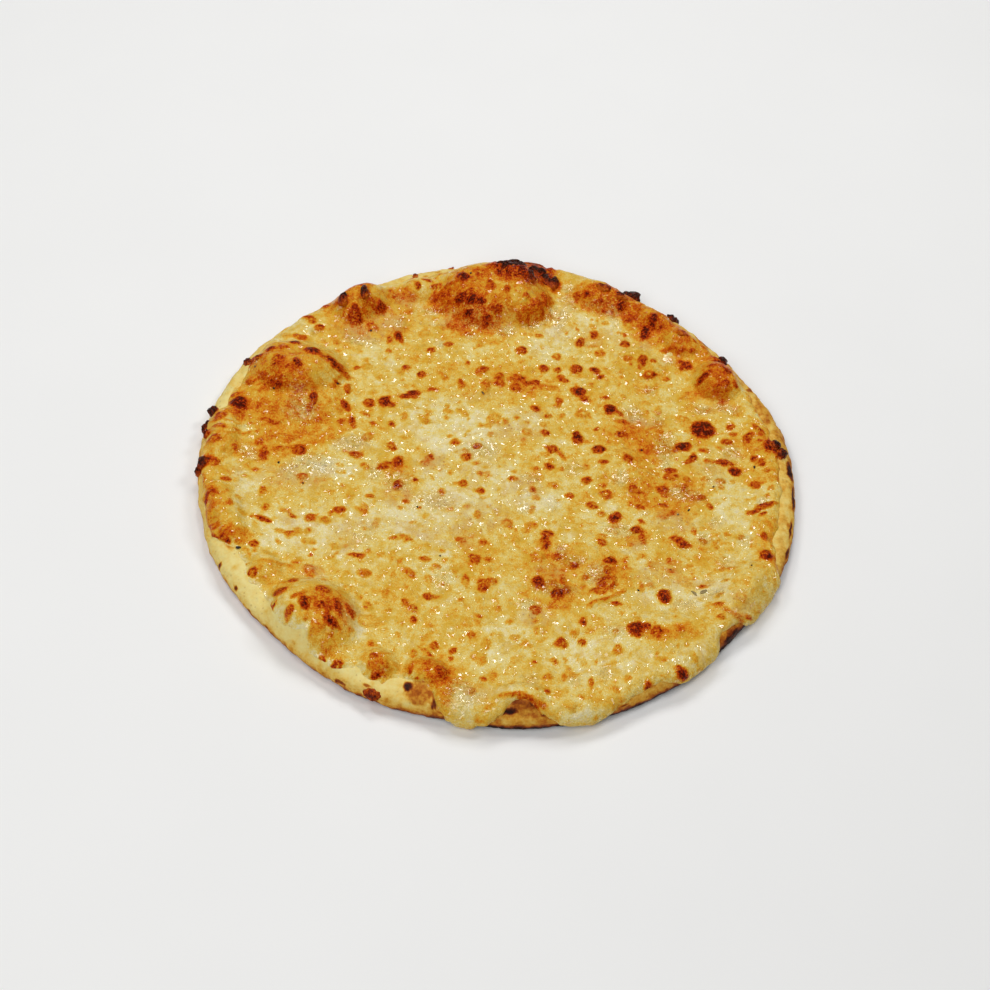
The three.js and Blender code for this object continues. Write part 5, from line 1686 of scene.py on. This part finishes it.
class CheeseSettings(bpy.types.PropertyGroup):
    """Looks of the melted cheese."""

    blister_height: amount("Blisters", "Millimetres that a blister stands up per millimetre of width", 0.32)
    shred_height: amount("Shreds", "Height of the half-melted shreds, in millimetres", 0.4)
    wrinkle_strength: amount("Wrinkles", "Strength of the finest wrinkles", 0.9, max=1.0)
    film_strength: amount("Wet ripples", "Strength of the ripples of the wet film", 1.0, max=3.0)
    butter_colour: colour("Butter", "Colour of the yellow, oily patches", tint(214, 168, 48))
    # Painted sheen: the whitish colour that stands in for a soft highlight on the wet places
    painted_sheen_colour: colour("Sheen", "Milky colour of the wet places", tint(255, 228, 154))
    sauce_colour: colour("Sauce", "Colour of the sauce where it shows through", tint(204, 164, 104))
    speck_colour: colour("Specks", "Colour of the fine specks", tint(168, 92, 46))


class CharSettings(bpy.types.PropertyGroup):
    """Looks of the burnt blisters and crumbs."""

    height: amount("Height", "Height of the rim's burnt blisters, as a share of their usual one", 1.0)
    crackle: amount("Crackle", "Depth of the cracks in the burnt skin, in millimetres", 0.5)
    thickness: amount("Crumbs", "Thickness of the crumbs and flecks", 0.0008, unit="LENGTH")
    herb_colour: colour("Herbs", "Colour of the dried herb flecks", tint(158, 138, 86))


class StageSettings(bpy.types.PropertyGroup):
    """Camera, floor and lights."""

    distance: amount("Distance", "From the camera to what it looks at", 0.9, 0.1, unit="LENGTH")
    lens: amount("Lens", "Focal length of the camera", 65.29, 1.0, unit="CAMERA")
    floor_size: amount("Floor", "Width of the floor", 8.0, 1.0, unit="LENGTH")
    floor_colour: colour("Floor colour", "Colour of the floor", (0.9, 0.9, 0.89))
    light_power: amount("Lights", "Power of the lights, as a share of the usual one", 0.95)
    room_light: amount("Room", "Strength of the even light all round", 0.07)


def place_piece(piece, slot, *replaced):
    """Ties a finished piece to the fitted model."""
    if not piece.data.polygons:
        raise RuntimeError(f"{piece.name} has no faces")
    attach(piece, "root")
    if replaced:
        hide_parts(*replaced)


class PIZZA_OT_crust(bpy.types.Operator):
    """Make the baked dough with its rim, side and base"""

    bl_idname = "pizza.crust"
    bl_label = "Crust"

    def execute(self, context):
        place_piece(make_crust(context.scene.pizza_crust), "crust", "crust")
        return {"FINISHED"}


class PIZZA_OT_cheese(bpy.types.Operator):
    """Make the sheet of melted, blistered cheese"""

    bl_idname = "pizza.cheese"
    bl_label = "Melted cheese"

    def execute(self, context):
        place_piece(make_cheese(context.scene.pizza_cheese), "cheese", "cheese")
        return {"FINISHED"}


class PIZZA_OT_rim_char(bpy.types.Operator):
    """Make the burnt blisters that stand proud of the rim"""

    bl_idname = "pizza.rim_char"
    bl_label = "Burnt blisters"

    def execute(self, context):
        place_piece(make_rim_char(context.scene.pizza_char), "cheese")
        return {"FINISHED"}


class PIZZA_OT_crumbs(bpy.types.Operator):
    """Make the burnt crumbs and herb flecks"""

    bl_idname = "pizza.crumbs"
    bl_label = "Crumbs and flecks"

    def execute(self, context):
        place_piece(make_crumbs(context.scene.pizza_char), "cheese")
        return {"FINISHED"}


class PIZZA_OT_stage(bpy.types.Operator):
    """Make the camera, the floor and the lights"""

    bl_idname = "pizza.stage"
    bl_label = "Stage"

    def execute(self, context):
        settings = context.scene.pizza_stage
        make_camera(settings)
        make_floor(settings)
        make_lights(settings)
        return {"FINISHED"}


class PIZZA_PT_panel(bpy.types.Panel):
    """Lists the pizza's pieces and their settings"""

    bl_label = "Cheese pizza"
    bl_idname = "PIZZA_PT_panel"
    bl_space_type = "VIEW_3D"
    bl_region_type = "UI"
    bl_category = "Pizza"

    def draw(self, context):
        steps = (
            (("pizza.crust",), context.scene.pizza_crust),
            (("pizza.cheese",), context.scene.pizza_cheese),
            (("pizza.rim_char", "pizza.crumbs"), context.scene.pizza_char),
            (("pizza.stage",), context.scene.pizza_stage),
        )
        for operators, settings in steps:
            box = self.layout.box()
            for name in settings.__annotations__:
                box.prop(settings, name)
            for operator in operators:
                box.operator(operator)


SETTINGS = {
    "pizza_crust": CrustSettings,
    "pizza_cheese": CheeseSettings,
    "pizza_char": CharSettings,
    "pizza_stage": StageSettings,
}
OPERATORS = (PIZZA_OT_crust, PIZZA_OT_cheese, PIZZA_OT_rim_char, PIZZA_OT_crumbs, PIZZA_OT_stage)


def register():
    """Adds the settings, the operators and the panel."""
    for group in (*SETTINGS.values(), *OPERATORS, PIZZA_PT_panel):
        bpy.utils.register_class(group)
    for name, group in SETTINGS.items():
        setattr(bpy.types.Scene, name, bpy.props.PointerProperty(type=group))


def unregister():
    """Takes them away again."""
    for name in SETTINGS:
        delattr(bpy.types.Scene, name)
    for group in (PIZZA_PT_panel, *reversed(OPERATORS), *reversed(SETTINGS.values())):
        bpy.utils.unregister_class(group)


def main():
    """Makes every piece and the stage."""
    register()
    bpy.ops.pizza.crust()
    bpy.ops.pizza.cheese()
    bpy.ops.pizza.rim_char()
    bpy.ops.pizza.crumbs()
    bpy.ops.pizza.stage()


if __name__ == "__main__":
    main()
